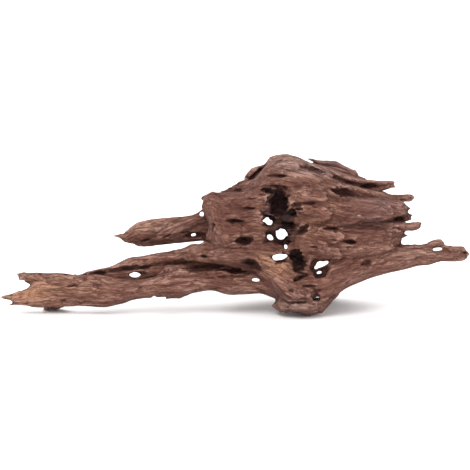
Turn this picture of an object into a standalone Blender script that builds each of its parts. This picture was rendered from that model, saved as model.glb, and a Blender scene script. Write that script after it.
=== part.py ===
"""Honeycomb driftwood: one root of eroded hardwood, about 47 cm long, that lies on three low points.

The wood is one piece. Its beams, blades, slats and plates are strands of the same root, so each is lofted from
rings along the root, and all of them are then grown together into one body. The hollow heart, the bores that
pass through it and the pits along the grain are cut out of that body.

The drawing's axes are: s, millimetres along the root from its left tip; t, millimetres up as seen from the front
by an eye that looks a little downwards; d, millimetres away from that eye. to_world turns them into metres.
"""

import math

import bmesh
import bpy
import numpy as np
from mathutils import Matrix, Vector

# Driving dimensions
LENGTH = 0.469  # metres, from the tip of the long beam to the tip of the horn
DRAWN_LENGTH = 469.0  # the same length in the drawing's millimetres
MM = LENGTH / DRAWN_LENGTH
EYE_TILT = math.radians(12.0)  # how far the front view looks down
GROUND_T = 2.2  # t of the ground at d = 0
MIDDLE_S = 234.6  # the middle of the length
MIDDLE_D = 16.0  # the middle of the depth

# How finely the wood is made, in the drawing's millimetres
RING_STEP = 4.0
RING_PITCH = 2.0
VOXEL = 1.8
CUTTER_VOXEL = 0.9
BODY_TRIANGLES = 24000
CUTTER_TRIANGLES = 9000
WOOD_TRIANGLES = 11400

# Ridges of the grain round a strand, in millimetres: from one groove to the next, and from groove to ridge
RIDGES = ((26.0, 2.0), (13.0, 1.7), (7.5, 1.0))
RIDGE_WANDER = 60.0  # millimetres along the grain over which a ridge wanders
FULL_RIDGES_AT = 9.0  # the half thickness from which a strand has them at full height
SQUARENESS = 0.85  # power of the ring's sine and cosine: 1 is an ellipse, and less is flatter in front

# Where weather tore the surface: the length of a torn patch along the grain, its width across it, and its height
TEARS = (30.0, 8.0, 2.2)

# Strands: name, then rings of (s, top t, bottom t, middle d, half depth)
STRANDS = {
    "beam_lower": (
        (0.5, 18.2, 17.2, -2, 1),
        (4, 20.3, 15.8, -2, 3),
        (10, 22, 14.5, -2, 6),
        (16, 23.2, 11.5, -2, 8),
        (23, 25, 10, -2, 10),
        (28, 27.5, 9, -2, 11),
        (33, 33, 8, -3, 12),
        (40, 36, 7.6, -3, 13),
        (55, 38, 7.6, -3, 13),
        (88, 39.5, 8.6, -4, 13),
        (105, 38.5, 8.2, -4, 14),
        (120, 36.5, 11, -4, 14),
        (138, 35.5, 16.2, -5, 14),
        (152, 38, 17.7, -6, 15),
        (165, 42, 18.8, -6, 16),
        (180, 45, 18.8, -6, 16),
        (195, 43.5, 22.5, -6, 16),
        (210, 44, 25.3, -6, 17),
        (225, 46, 22, -5, 18),
        (262, 42, 21.4, -3, 22),
        (276, 38, 16.5, -3, 22),
        (292, 36, 12, -3, 20),
    ),
    "beam_splinter": ((8, 10, 9.2, 0, 0.8), (12, 12, 9.4, 0, 2), (17, 13.5, 10.2, -1, 4), (24, 16, 10, -2, 6)),
    "prong": (
        (19.3, 40.6, 34.2, 1, 3),
        (22, 41.8, 33.6, 1, 6),
        (28, 42.2, 32, 1, 8),
        (34, 42.6, 29, 0, 10),
        (45, 42.3, 26, -1, 11),
        (60, 42, 24, -1, 12),
        (68, 41, 24, -1, 12),
        (74, 39.6, 24, -2, 12),
        (82, 40.6, 24, -2, 11),
        (92, 43, 28, 0, 9),
    ),
    "prong_spike": ((15.6, 41.2, 40.6, 1, 0.8), (19, 41.8, 39.6, 1, 1.6), (24, 41.8, 38, 1, 3)),
    "beam_upper": (
        (85, 43, 41.5, 8, 3),
        (92, 44.7, 41, 8, 6),
        (100, 46.4, 41, 8, 9),
        (110, 48.5, 42, 9, 11),
        (120, 53, 43.5, 9, 12),
        (130, 57.2, 44.5, 9, 13),
        (140, 58.8, 45.5, 10, 14),
        (155, 61.7, 47, 10, 15),
        (183, 65.7, 50, 10, 17),
        (193, 71, 51.5, 10, 18),
        (200, 70, 53, 10, 18),
        (212, 74, 54, 10, 20),
        (230, 78, 53, 9, 22),
        (250, 75, 52, 8, 22),
    ),
    "beam_web": (
        (75, 42, 33, 3, 8),
        (95, 42.5, 33, 4, 9),
        (130, 47, 32, 5, 9),
        (170, 51, 38, 5, 11),
        (215, 56, 40, 5, 14),
        (245, 58, 42, 5, 16),
    ),
    "knuckle": ((160, 42, 38, -3, 8), (166, 49, 40, -4, 10), (174, 50, 38, -4, 11), (184, 50, 40, -3, 10)),
    "left_rest": ((44, 8, 6, 14, 2), (49, 12, 4.6, 13, 6), (56, 14, 4.6, 13, 7), (63, 16, 6.8, 11, 6), (70, 18, 8.4, 8, 5)),
    "beam_hook": ((165.5, 18, 15.8, 6, 1.5), (170, 20, 16, 6, 4), (181, 22, 16.5, 6, 5), (187, 24, 20, 4, 5)),
    "blade": (
        (112.6, 79.8, 78.6, 22, 0.8),
        (119, 80.8, 77, 22, 2.5),
        (125, 83.3, 72.8, 23, 5),
        (131, 88, 71.5, 24, 7),
        (138, 92.5, 70.2, 25, 8.5),
        (146, 94.8, 69.7, 26, 9.5),
        (156, 96.7, 70.3, 27, 10),
        (172, 98.2, 72.3, 28, 11),
        (195, 98, 74, 28, 13),
        (210, 100, 75, 28, 15),
        (230, 106, 75, 27, 18),
        (250, 110, 72, 26, 20),
    ),
    "blade_strand": (
        (185, 98, 95, 30, 4),
        (192, 99.8, 96.3, 31, 4),
        (200, 104.3, 100.5, 31, 4),
        (206, 110, 105, 30, 5),
        (216, 118, 108, 28, 7),
    ),
    "plank": (
        (203.5, 118, 101, -13, 11),
        (208, 120.3, 93, -13, 16),
        (214, 121.5, 74, -13, 21),
        (222, 122.2, 64, -12, 26),
        (242, 122.6, 58, -11, 30),
        (251, 127, 55, -12, 31),
        (261, 130.6, 50, -13, 32),
        (272, 132, 44, -13, 32),
        (284, 131, 42, -11, 30),
        (296, 128, 46, -7, 25),
        (310, 120, 56, 0, 16),
    ),
    "sweep": (
        (176, 64, 55, 4, 7),
        (192, 68, 54, 1, 12),
        (208, 71, 52, -3, 18),
        (224, 76, 50, -8, 24),
        (240, 80, 47, -13, 28),
        (256, 80, 45, -15, 30),
        (272, 76, 42, -15, 30),
        (288, 68, 38, -12, 26),
        (304, 58, 34, -8, 18),
    ),
    "plank_lobe": (
        (206.5, 81, 76.5, -9, 6),
        (209, 87, 75, -10, 12),
        (214, 94, 71, -12, 19),
        (222, 98, 65, -12, 24),
        (235, 102, 60, -10, 29),
    ),
    "plank_spike_high": ((200.5, 116.5, 115.8, -6, 0.8), (204, 119.4, 115, -6, 3), (210, 120.6, 112, -7, 8)),
    "plank_spike_low": ((201.6, 110, 107.5, -6, 1.2), (204, 112, 105, -6, 3), (209, 113, 102, -8, 8)),
    "shoulder": (
        (222, 124, 118, 6, 6),
        (231, 127.5, 112, 7, 12),
        (239, 132.3, 110, 8, 14),
        (246, 135.5, 108, 9, 16),
        (256, 140, 106, 9, 18),
        (268, 150, 104, 9, 20),
    ),
    "knob": (
        (245.3, 139, 135, 14, 3),
        (247.5, 142.5, 132, 15, 7),
        (250, 145, 130, 16, 9),
        (254, 147, 126, 17, 12),
        (261, 148.6, 124, 18, 14),
        (265, 151, 122, 18, 15),
        (268, 156, 120, 18, 16),
        (273, 158.7, 118, 18, 18),
        (282, 160.4, 116, 18, 20),
        (291, 160.4, 116, 18, 20),
        (300, 157.6, 114, 18, 20),
        (306, 154.5, 112, 18, 18),
    ),
    "crest": (
        (243, 124, 120, -8, 4),
        (248, 128, 118, -8, 12),
        (256, 137, 116, -6, 20),
        (264, 147, 114, -4, 24),
        (270, 152, 112, -3, 26),
        (278, 156.5, 110, -2, 28),
        (288, 158, 108, -2, 30),
        (298, 156, 106, -2, 30),
        (308, 152, 104, -2, 30),
        (320, 147, 100, -3, 30),
        (335, 138, 98, -3, 28),
        (350, 130, 98, 0, 24),
        (366, 122, 100, 5, 14),
    ),
    "slat_rear": (
        (306.6, 157, 156.2, 34, 1),
        (312, 156.6, 153.5, 36, 5),
        (320, 155, 149, 38, 9),
        (329, 154.5, 147, 40, 12),
        (336, 153.8, 144.8, 41, 13),
        (344, 149.8, 142.8, 42, 13),
        (352, 145.9, 140, 43, 12),
        (356.5, 144, 138, 43, 9),
        (358.6, 140.5, 138, 43, 3),
    ),
    "slat_top": (
        (284, 158, 144, 18, 16),
        (296, 157.5, 143, 18, 18),
        (303, 155, 142.5, 19, 18),
        (311, 152.2, 141.5, 20, 18),
        (320, 149.5, 140.5, 21, 18),
        (332, 146.3, 138, 22, 18),
        (345, 141.7, 133, 23, 18),
        (358, 137.4, 130.5, 24, 17),
        (368, 135.7, 128.5, 25, 15),
        (380, 134.9, 127.5, 25, 12),
        (388, 134.6, 129.5, 25, 9),
        (393.5, 134, 131.5, 25, 5),
        (395, 133, 131.8, 25, 2),
    ),
    "slat_top_fork": ((386, 131, 126.5, 24, 6), (391, 131, 126.8, 24, 4), (395.2, 129.5, 127, 24, 1.5)),
    "slat_top_lip": ((352, 130, 124, 16, 8), (366, 128.5, 124, 17, 7), (377, 128, 123.5, 18, 6), (384, 129, 124.5, 18, 5), (389, 130, 126.5, 18, 2.5)),
    "slat_middle": (
        (286, 147, 132, 2, 22),
        (300, 144, 130, 4, 24),
        (318, 139.7, 126, 6, 24),
        (335, 135, 123.5, 8, 22),
        (350, 130.3, 121.5, 9, 20),
        (365, 126.2, 119.5, 10, 17),
        (380, 122.7, 117.3, 10, 13),
        (392, 120.2, 114.8, 10, 10),
        (402, 119.9, 113.8, 10, 8),
        (410, 120.9, 113, 10, 6),
        (414, 118.6, 116.5, 10, 2.5),
    ),
    "plate_upper": (
        (268, 124, 108, -4, 12),
        (284, 131, 104, -10, 23),
        (300, 131, 99, -12, 27),
        (318, 128, 97, -10, 28),
        (335, 121, 90, -8, 28),
        (350, 118.5, 88, -6, 26),
        (368, 117, 88, -4, 24),
        (384, 115.8, 92, -3, 21),
        (396, 114.3, 94, -2, 17),
        (403, 112.5, 95, -1, 13),
        (407.3, 109, 102, 0, 6),
    ),
    "plate_end": ((396, 106, 93, 2, 14), (404, 103.5, 93.5, 3, 10), (409, 100.5, 94, 4, 5), (411.3, 98, 94.8, 4, 2)),
    "plate_spike_high": ((404, 108, 105, 1, 4), (408, 107.8, 106, 1, 2), (411.3, 107.2, 106.4, 1, 0.8)),
    "plate_spike_low": ((404, 103, 99, 3, 5), (408, 101.3, 99.3, 3, 2.5), (413.2, 100.7, 99.8, 3, 0.8)),
    "stub": (
        (368, 99, 88, -6, 14),
        (384, 95.5, 87, -7, 13),
        (395, 94.5, 84.5, -8, 12),
        (404, 94, 83.7, -8, 10),
        (413, 94, 84.7, -8, 8),
        (419, 93.9, 87.5, -8, 5.5),
        (421.7, 92.6, 91, -8, 2),
    ),
    "stub_fork": ((412, 89, 84.6, -8, 6), (418, 88.5, 86, -8, 3.5), (421, 88.2, 87.4, -8, 1)),
    "plate_lower": (
        (280, 98, 62, -6, 14),
        (296, 100, 55, -13, 22),
        (315, 98, 53, -14, 25),
        (335, 94, 52, -12, 26),
        (355, 92, 52, -9, 25),
        (372, 91, 55, -7, 21),
        (385, 89.5, 57, -5, 18),
        (393, 86, 62, -4, 14),
        (398.5, 81, 69, -3, 8),
        (400.5, 78, 71, -3, 3),
    ),
    "plate_tooth_high": ((392, 87, 78, -4, 8), (399, 84, 80, -4, 5), (404.5, 83.7, 82.5, -4, 2)),
    "plate_tooth_low": ((394, 83, 72, -3, 7), (401, 80.8, 76, -3, 4), (405, 80.3, 78, -3, 2), (408.2, 79.9, 79, -3, 0.8)),
    "horn": (
        (286, 58, 12, -14, 20),
        (300, 60, 10, -14, 24),
        (315, 60, 8, -13, 26),
        (330, 60, 15, -12, 25),
        (345, 61, 26.5, -10, 23),
        (360, 63, 34, -8, 20),
        (375, 66, 39, -6, 17),
        (390, 68.5, 42.5, -4, 14),
        (404, 69.3, 45.7, -2, 12),
        (418, 69, 49.7, 0, 10),
        (430, 68, 50.8, 1, 9),
        (440, 66.5, 53.5, 2, 8),
        (450, 67, 53.2, 2, 8),
        (460, 67.5, 54.5, 2, 7.5),
        (466, 65.6, 56, 2, 5.5),
        (469, 62, 59, 2, 2),
    ),
    "horn_lobe": ((416, 69.5, 64, 1, 6), (424, 71, 63, 2, 7), (431, 74, 64, 2, 7), (437, 75.8, 65, 2, 6), (441, 76, 66, 2, 5), (443.3, 73, 67, 2, 3)),
    "horn_strand": ((442, 69, 64, 1, 4), (446, 69, 63, 1, 5), (452, 68.8, 62, 1, 6), (463, 68.3, 60, 2, 6)),
    "front_foot": (
        (271.8, 10, 8.4, -8, 2),
        (275, 12.6, 6.2, -10, 8),
        (280, 18, 2.4, -12, 15),
        (290, 24, 3.2, -13, 19),
        (300, 26, 2.3, -13, 21),
        (309, 27, -0.8, -13, 21),
        (317, 27, 2.5, -13, 20),
        (322, 26, 2.2, -12, 18),
        (328, 24, 8, -11, 15),
        (334, 24, 17, -10, 12),
    ),
    "nose": (
        (248, 66, 52, -17, 8),
        (256, 66, 44, -20, 12),
        (265, 63, 36, -23, 15),
        (274, 60, 27, -26, 17),
        (283, 56, 18, -28, 18),
        (292, 50, 12, -28, 17),
        (302, 42, 9, -24, 16),
        (312, 36, 8, -20, 14),
    ),
    "heart": (
        (226, 110, 62, 14, 20),
        (240, 122, 56, 16, 34),
        (260, 134, 48, 18, 42),
        (280, 142, 40, 18, 49),
        (300, 142, 34, 18, 53),
        (320, 136, 34, 19, 53),
        (340, 127, 40, 19, 49),
        (360, 120, 48, 19, 42),
        (380, 112, 58, 18, 31),
        (394, 106, 68, 16, 18),
    ),
    "back_slat_high": (
        (262, 140, 120, 46, 12),
        (285, 146, 122, 52, 14),
        (310, 146, 120, 55, 15),
        (335, 138, 116, 54, 14),
        (360, 130, 110, 50, 12),
        (382, 124, 108, 44, 8),
        (396, 119, 112, 40, 3),
    ),
    "back_slat_middle": (
        (232, 112, 92, 36, 12),
        (255, 116, 88, 48, 16),
        (285, 116, 84, 58, 18),
        (315, 112, 80, 61, 18),
        (345, 106, 78, 58, 16),
        (372, 100, 78, 50, 13),
        (395, 96, 82, 40, 8),
        (404, 92, 86, 36, 3),
    ),
    "back_slat_low": (
        (218, 92, 70, 34, 8),
        (240, 88, 60, 46, 14),
        (270, 84, 52, 56, 17),
        (305, 80, 50, 61, 18),
        (335, 78, 52, 58, 17),
        (365, 76, 58, 48, 12),
        (388, 74, 64, 38, 6),
    ),
    "rear_foot": (
        (288, 52, 30, 46, 8),
        (300, 52, 22, 54, 12),
        (311, 50, 15, 60, 15),
        (322, 50, 14, 62, 16),
        (334, 54, 24, 60, 14),
        (350, 60, 38, 54, 14),
        (372, 66, 50, 46, 12),
    ),
    "slat_web": (
        (312, 152, 142, 30, 8),
        (325, 150, 140, 32, 10),
        (340, 147, 137, 33, 10),
        (352, 142.5, 133, 33, 9),
        (364, 137, 131, 31, 6),
    ),
    "blade_ridge": (
        (138, 76, 71.5, 21, 2),
        (155, 83, 73, 20.5, 4),
        (172, 92, 79, 20, 5),
        (188, 98, 85, 19, 5),
        (202, 102, 91, 18, 5),
        (214, 107, 96, 16, 4),
    ),
}

# Rooms of the hollow heart: (s, t, d, radius along s, radius along t, radius along d, tilt in degrees)
ROOMS = {
    "room_high": (284, 104, 0, 17, 26, 24, -8),
    "room_middle": (284, 82, 6, 22, 18, 30, 0),
    "room_low": (292, 58, 2, 16, 14, 22, 20),
    "window_top": (275, 124.5, -36, 13, 4.5, 26, 9),
    "window_tall": (277.5, 111, -34, 12.5, 16.5, 32, -6),
    "window_spur": (291, 102.5, -38, 8.5, 4.2, 26, 12),
    "window_foot": (268.5, 96.5, -40, 8, 8.5, 28, 20),
    "eye_right": (287.5, 89.5, -38, 9.5, 5, 26, -3),
    "window_heart": (281, 80, -38, 8.5, 9, 26, 0),
    "window_left": (270, 79.5, -44, 7, 6, 24, 0),
    "window_low": (284.5, 73, -40, 6.5, 5, 22, 0),
    "window_sill": (280, 57.5, -40, 8.5, 4.8, 18, 8),
    "cave": (297.5, 55, -36, 8.5, 11, 22, 20),
    "mouth_back": (290, 98, 66, 20, 9, 22, -6),
    "mouth_back_low": (318, 68, 66, 14, 6, 20, 4),
    "mouth_back_left": (256, 78, 58, 13, 5, 18, 6),
    "mouth_top": (276, 150, 34, 14, 20, 8, 0),
}

# Bores that light passes through, along the eye's line: (s, t, radius along s, radius along t, tilt, first d, last d)
BORES = {
    "through_high": (267.5, 94, 4.8, 4.3, 0, -71, 91),
    "through_heart": (281, 81.5, 6, 5.8, 0, -72, 92),
    "through_left": (270.3, 77.4, 3.5, 2.2, -30, -73, 93),
    "through_low": (285.8, 68.2, 1.8, 2.4, 0, -74, 94),
    "through_sill": (280, 57.7, 7.5, 3.6, 12, -75, 95),
    "through_crater": (321.5, 50.5, 7.5, 3, 25, -76, 96),
    "through_crater_low": (319.3, 42.6, 3, 1.8, 15, -77, 97),
    "through_foot": (316.5, 16, 3.6, 2.3, 10, -78, 98),
    "through_nose": (255.7, 35.2, 4, 1.6, -5, -79, 99),
    "through_blade": (193.5, 80.3, 2.6, 1.5, 10, -80, 100),
    "through_beam": (135, 40.3, 6, 2.1, 0, -81, 101),
    "through_horn": (437.5, 65.8, 4.8, 1.6, 5, -82, 102),
    "through_corner": (201.6, 101.6, 2.2, 2.2, 0, -83, 103),
}

# Pits in the front face: (s, t, half length along the grain, half width, depth, tilt in degrees)
PITS = (
    (234.5, 94, 11, 2.4, 8, -3),
    (248.5, 106.7, 9, 1.7, 5, 0),
    (244.5, 74.5, 9, 5, 10, 0),
    (251, 50, 11, 7, 11, -15),
    (200, 48, 26, 4, 6, 3),
    (233, 44, 20, 3.5, 7, 0),
    (203.5, 58.5, 6, 2, 6, 0),
    (128, 46.5, 26, 2.6, 5, 6),
    (172, 51.5, 20, 2.2, 4, 2),
    (98, 42, 9, 2, 7, 2),
    (101, 42, 5, 2, 7, 0),
    (195, 79.5, 11, 2.6, 6, 4),
    (137, 41, 9, 3.2, 6, 0),
    (320, 47, 10, 11, 14, 0),
    (316, 19, 6, 5.5, 9, 0),
    (332.5, 86.5, 9, 3, 10, -5),
    (350.5, 73, 8, 2.4, 9, -5),
    (302.5, 85, 7.5, 3.6, 10, 38),
    (347, 121.5, 17, 4.4, 9, -4),
    (343, 134, 14, 3.2, 9, -20),
    (369, 128.5, 11, 3.6, 9, 3),
    (313, 144, 14, 2.5, 8, -20),
    (366, 52, 8, 3.5, 6, 20),
    (400.5, 96.5, 6, 1.9, 8, 5),
    (277, 139, 13, 1.9, 6, 0),
    (258, 143, 14, 3, 10, 42),
    (237, 124.5, 5, 1.9, 5, 0),
    (307, 112, 15, 2, 5, 4),
    (300, 37, 10, 2.6, 7, 25),
    (212, 89, 5, 4, 4, 0),
    (297, 12.5, 13, 1.7, 5, 2),
    (230, 38.5, 16, 2, 5, 0),
)

# Pits in the back, in the same measures
BACK_PITS = (
    (60, 32, 16, 3, 6, 0),
    (118, 30, 18, 3, 7, 4),
    (160, 46, 16, 3.4, 8, 4),
    (206, 62, 14, 4, 10, 0),
    (160, 84, 14, 2.6, 6, 0),
    (208, 88, 12, 3, 8, 4),
    (238, 104, 13, 4, 12, 6),
    (268, 118, 14, 3.6, 10, 0),
    (300, 121, 16, 3.6, 12, -4),
    (336, 114, 15, 3.4, 10, -6),
    (372, 106, 12, 3, 8, -6),
    (284, 134, 12, 4, 9, 0),
    (320, 136, 14, 3, 8, -12),
    (262, 62, 12, 4, 10, 8),
    (300, 86, 10, 5, 14, 0),
    (344, 90, 14, 4.4, 12, 2),
    (374, 74, 12, 4, 10, 4),
    (342, 62, 12, 4, 10, 8),
    (396, 60, 14, 3, 6, 4),
    (300, 38, 8, 4, 9, 10),
)


def to_world(s, t, d):
    """A point of the drawing in metres: t is foreshortened by the eye's tilt, and points farther back stand higher."""
    return (
        (s - MIDDLE_S) * MM,
        (d - MIDDLE_D) * MM,
        (t - GROUND_T - d * math.sin(EYE_TILT)) / math.cos(EYE_TILT) * MM,
    )


def clear_scene():
    for old in list(bpy.data.objects):
        bpy.data.objects.remove(old)


def along(rings, s):
    """The ring sizes at each s, on a smooth curve through the given rings, with the slopes of a Catmull-Rom curve."""
    rings = np.array(rings, float)
    knots, values = rings[:, 0], rings[:, 1:]
    slopes = np.gradient(values, knots, axis=0)
    i = np.clip(np.searchsorted(knots, s, side="right") - 1, 0, len(knots) - 2)
    width = (knots[i + 1] - knots[i])[:, None]
    u = ((s - knots[i]) / width[:, 0])[:, None]
    smooth = (
        (2 * u**3 - 3 * u**2 + 1) * values[i]
        + (u**3 - 2 * u**2 + u) * slopes[i] * width
        + (3 * u**2 - 2 * u**3) * values[i + 1]
        + (u**3 - u**2) * slopes[i + 1] * width
    )
    low = np.minimum(values[i], values[i + 1])
    high = np.maximum(values[i], values[i + 1])
    return np.clip(smooth, low, high)


def ridges(angle, s, girth, strand):
    """The grain's ridges in millimetres: |cos| waves round the ring, with sharp grooves, that wander along it."""
    draw = np.random.default_rng(strand)
    total = np.zeros(np.broadcast_shapes(angle.shape, s.shape))
    for pitch, height in RIDGES:
        half_waves = max(2, round(girth / pitch)) / 2
        phase, lean, swing = draw.uniform(0, 6.28), draw.uniform(-1, 1), draw.uniform(0.6, 1.2)
        wander = lean * s / RIDGE_WANDER + swing * np.sin(s / RIDGE_WANDER * 2.4 + 3 * phase)
        total += height * (np.abs(np.cos(half_waves * angle + phase + wander)) - 0.64)
    return total


def tears(s, across_t, across_d):
    """Millimetres of torn surface: a seeded value every patch along and across the grain, eased from one to the next."""
    length, width, height = TEARS
    total, sides = 0, []
    for place, step in ((s, length), (across_t, width), (across_d, width)):
        u = place / step + 64
        i = np.floor(u).astype(int)
        u = u - i
        u = u * u * (3 - 2 * u)
        sides.append(((i % 32, 1 - u), ((i + 1) % 32, u)))
    table = np.random.default_rng(11).uniform(-1, 1, (32, 32, 32))
    for i, u in sides[0]:
        for j, v in sides[1]:
            for k, w in sides[2]:
                total = total + u * v * w * table[i, j, k]
    return height * total


def squared(wave):
    return np.sign(wave) * np.abs(wave) ** SQUARENESS


def strand_rings(rings, strand):
    """The points of each ring: a squared ellipse, top to bottom and front to back, with the ridges round it."""
    first, last = rings[0][0], rings[-1][0]
    s = np.linspace(first, last, max(3, int((last - first) / RING_STEP) + 1))
    top, bottom, middle_d, half_d = along(rings, s).T[:, :, None]
    half_t = (top - bottom) / 2
    girth = 2 * math.pi * math.sqrt((half_t.max() ** 2 + half_d.max() ** 2) / 2)
    sides = max(12, int(girth / RING_PITCH))
    angle = np.linspace(0, 2 * math.pi, sides, endpoint=False)[None, :]
    s = s[:, None]
    round_t, round_d = half_t * squared(np.cos(angle)), half_d * squared(np.sin(angle))
    relief = ridges(angle, s, girth, strand) + tears(s, round_t, round_d + 37 * strand)
    swell = np.abs(np.gradient(half_t.ravel(), s.ravel()))[:, None]
    relief = relief * np.clip(np.minimum(half_t, half_d) / FULL_RIDGES_AT, 0, 1) * np.clip(1.4 - 1.6 * swell, 0, 1)
    t = (top + bottom) / 2 + (half_t + relief) * squared(np.cos(angle))
    d = middle_d + (half_d + relief) * squared(np.sin(angle))
    return np.stack(np.broadcast_arrays(s, t, d), axis=-1)


def add_strand(bm, rings, strand):
    """One strand as a closed loft: its rings are bridged, and the first and last are capped."""
    loops = []
    for ring in strand_rings(rings, strand):
        verts = [bm.verts.new(to_world(*point)) for point in ring]
        edges = [bm.edges.new((verts[i - 1], verts[i])) for i in range(len(verts))]
        loops.append((verts, edges))
    for (_, before), (_, after) in zip(loops, loops[1:]):
        bmesh.ops.bridge_loops(bm, edges=before + after)
    for verts, _ in (loops[0], loops[-1]):
        bm.faces.new(verts)


def new_object(name, bm):
    mesh = bpy.data.meshes.new(name)
    bm.to_mesh(mesh)
    bm.free()
    made = bpy.data.objects.new(name, mesh)
    bpy.context.scene.collection.objects.link(made)
    return made


def apply_modifiers(made):
    """Replaces the object's mesh by its evaluated one."""
    graph = bpy.context.evaluated_depsgraph_get()
    mesh = bpy.data.meshes.new_from_object(made.evaluated_get(graph))
    made.modifiers.clear()
    made.data = mesh


def decimate(made, triangles):
    made.data.calc_loop_triangles()
    fewer = made.modifiers.new("fewer_faces", "DECIMATE")
    fewer.ratio = min(1.0, triangles / len(made.data.loop_triangles))
    apply_modifiers(made)


def grown_together(name, bm, voxel, triangles):
    """The overlapping shapes in bm as one object with one skin, made by a voxel remesh."""
    bmesh.ops.recalc_face_normals(bm, faces=bm.faces)
    made = new_object(name, bm)
    skin = made.modifiers.new("one_skin", "REMESH")
    skin.mode = "VOXEL"
    skin.voxel_size = voxel * MM
    apply_modifiers(made)
    decimate(made, triangles)
    return made


def grown_body():
    bm = bmesh.new()
    for strand, rings in enumerate(STRANDS.values()):
        add_strand(bm, rings, strand)
    return grown_together("driftwood", bm, VOXEL, BODY_TRIANGLES)


def add_ball(bm, centre, radii, tilt):
    """An ellipsoid whose radii lie along s, t and d, turned by tilt in the picture plane."""
    lean = Matrix.Rotation(math.radians(tilt), 3, "Z")
    ball = bmesh.ops.create_icosphere(bm, subdivisions=3, radius=1)
    for vert in ball["verts"]:
        point = lean @ Vector(c * r for c, r in zip(vert.co, radii))
        vert.co = to_world(*(Vector(centre) + point))


def add_bore(bm, bore):
    """A straight tube along the eye's line, with an oval section."""
    s, t, radius_s, radius_t, tilt, first, last = bore
    lean = Matrix.Rotation(math.radians(tilt), 3, "Z")
    tube = bmesh.ops.create_cone(bm, cap_ends=True, segments=24, radius1=1, radius2=1, depth=last - first)
    for vert in tube["verts"]:
        across = lean @ Vector((vert.co.x * radius_s, vert.co.y * radius_t, 0))
        vert.co = to_world(s + across.x, t + across.y, (first + last) / 2 + vert.co.z)


def face_at(body, s, t, side):
    """d of the wood's face that a line along the eye meets here, from the front (side -1) or from behind (side 1)."""
    start, end = Vector(to_world(s, t, 150 * side)), Vector(to_world(s, t, -150 * side))
    hit, place, _, _ = body.ray_cast(start, (end - start).normalized())
    return place.y / MM + MIDDLE_D if hit else None


def hollows(body):
    """The rooms of the heart, the bores and the pits as one hidden cutter."""
    bm = bmesh.new()
    for room in ROOMS.values():
        add_ball(bm, room[:3], room[3:6], room[6])
    for bore in BORES.values():
        add_bore(bm, bore)
    for side, pits in ((-1, PITS), (1, BACK_PITS)):
        for s, t, length, width, depth, tilt in pits:
            face = face_at(body, s, t, side)
            if face is not None:
                add_ball(bm, (s, t, face), (length, width, depth), tilt)
    cutter = grown_together("hollows", bm, CUTTER_VOXEL, CUTTER_TRIANGLES)
    cutter.hide_render = True
    cutter.display_type = "WIRE"
    return cutter


def keep_largest_piece(made):
    """Drops crumbs that a cut leaves loose, and the skins of sealed holes."""
    bm = bmesh.new()
    bm.from_mesh(made.data)
    left, pieces = set(bm.verts), []
    while left:
        piece, front = set(), [left.pop()]
        while front:
            vert = front.pop()
            piece.add(vert)
            for edge in vert.link_edges:
                other = edge.other_vert(vert)
                if other in left:
                    left.discard(other)
                    front.append(other)
        pieces.append(piece)
    pieces.sort(key=len)
    loose = [vert for piece in pieces[:-1] for vert in piece]
    bmesh.ops.delete(bm, geom=loose, context="VERTS")
    bm.to_mesh(made.data)
    bm.free()


def close_faults(made):
    """Where fewer faces left an edge without its two faces, that spot is taken out and its hole filled."""
    bm = bmesh.new()
    bm.from_mesh(made.data)
    for _ in range(6):
        torn = {vert for edge in bm.edges if len(edge.link_faces) != 2 for vert in edge.verts}
        if not torn:
            break
        bmesh.ops.delete(bm, geom=list(torn), context="VERTS")
        rim = [edge for edge in bm.edges if edge.is_boundary]
        filled = bmesh.ops.holes_fill(bm, edges=rim)["faces"]
        bmesh.ops.triangulate(bm, faces=filled)
    bmesh.ops.recalc_face_normals(bm, faces=bm.faces)
    bm.to_mesh(made.data)
    bm.free()


def cut_flat_below_ground(made):
    """Wears the low points flat where the wood rests."""
    bm = bmesh.new()
    bm.from_mesh(made.data)
    cut = bmesh.ops.bisect_plane(
        bm,
        geom=bm.verts[:] + bm.edges[:] + bm.faces[:],
        dist=1e-6,
        plane_co=(0, 0, 0),
        plane_no=(0, 0, -1),
        clear_outer=True,
    )
    rim = [edge for edge in cut["geom_cut"] if isinstance(edge, bmesh.types.BMEdge)]
    bmesh.ops.holes_fill(bm, edges=rim)
    bmesh.ops.recalc_face_normals(bm, faces=bm.faces)
    bmesh.ops.triangulate(bm, faces=bm.faces)
    bm.to_mesh(made.data)
    bm.free()


def weathered_wood():
    """Grey-brown hardwood, dry and matt."""
    material = bpy.data.materials.new("weathered_hardwood")
    material.use_nodes = True
    shader = material.node_tree.nodes["Principled BSDF"]
    shader.inputs["Base Color"].default_value = (0.20, 0.10, 0.072, 1.0)
    shader.inputs["Roughness"].default_value = 0.8
    shader.inputs["Metallic"].default_value = 0.0
    return material


def make_driftwood():
    body = grown_body()
    cutter = hollows(body)
    cut = body.modifiers.new("hollowed", "BOOLEAN")
    cut.operation = "DIFFERENCE"
    cut.object = cutter
    cut.solver = "EXACT"
    apply_modifiers(body)
    bpy.data.objects.remove(cutter)
    keep_largest_piece(body)
    decimate(body, WOOD_TRIANGLES)
    close_faults(body)
    cut_flat_below_ground(body)
    keep_largest_piece(body)
    body.data.materials.clear()
    body.data.materials.append(weathered_wood())
    body.data.shade_smooth()
    body.data.set_sharp_from_angle(angle=math.radians(50))
    return body


clear_scene()
make_driftwood()
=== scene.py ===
"""A piece of honeycomb driftwood, about 47 cm long, lying on a pale floor as in its photograph."""

import math

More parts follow.
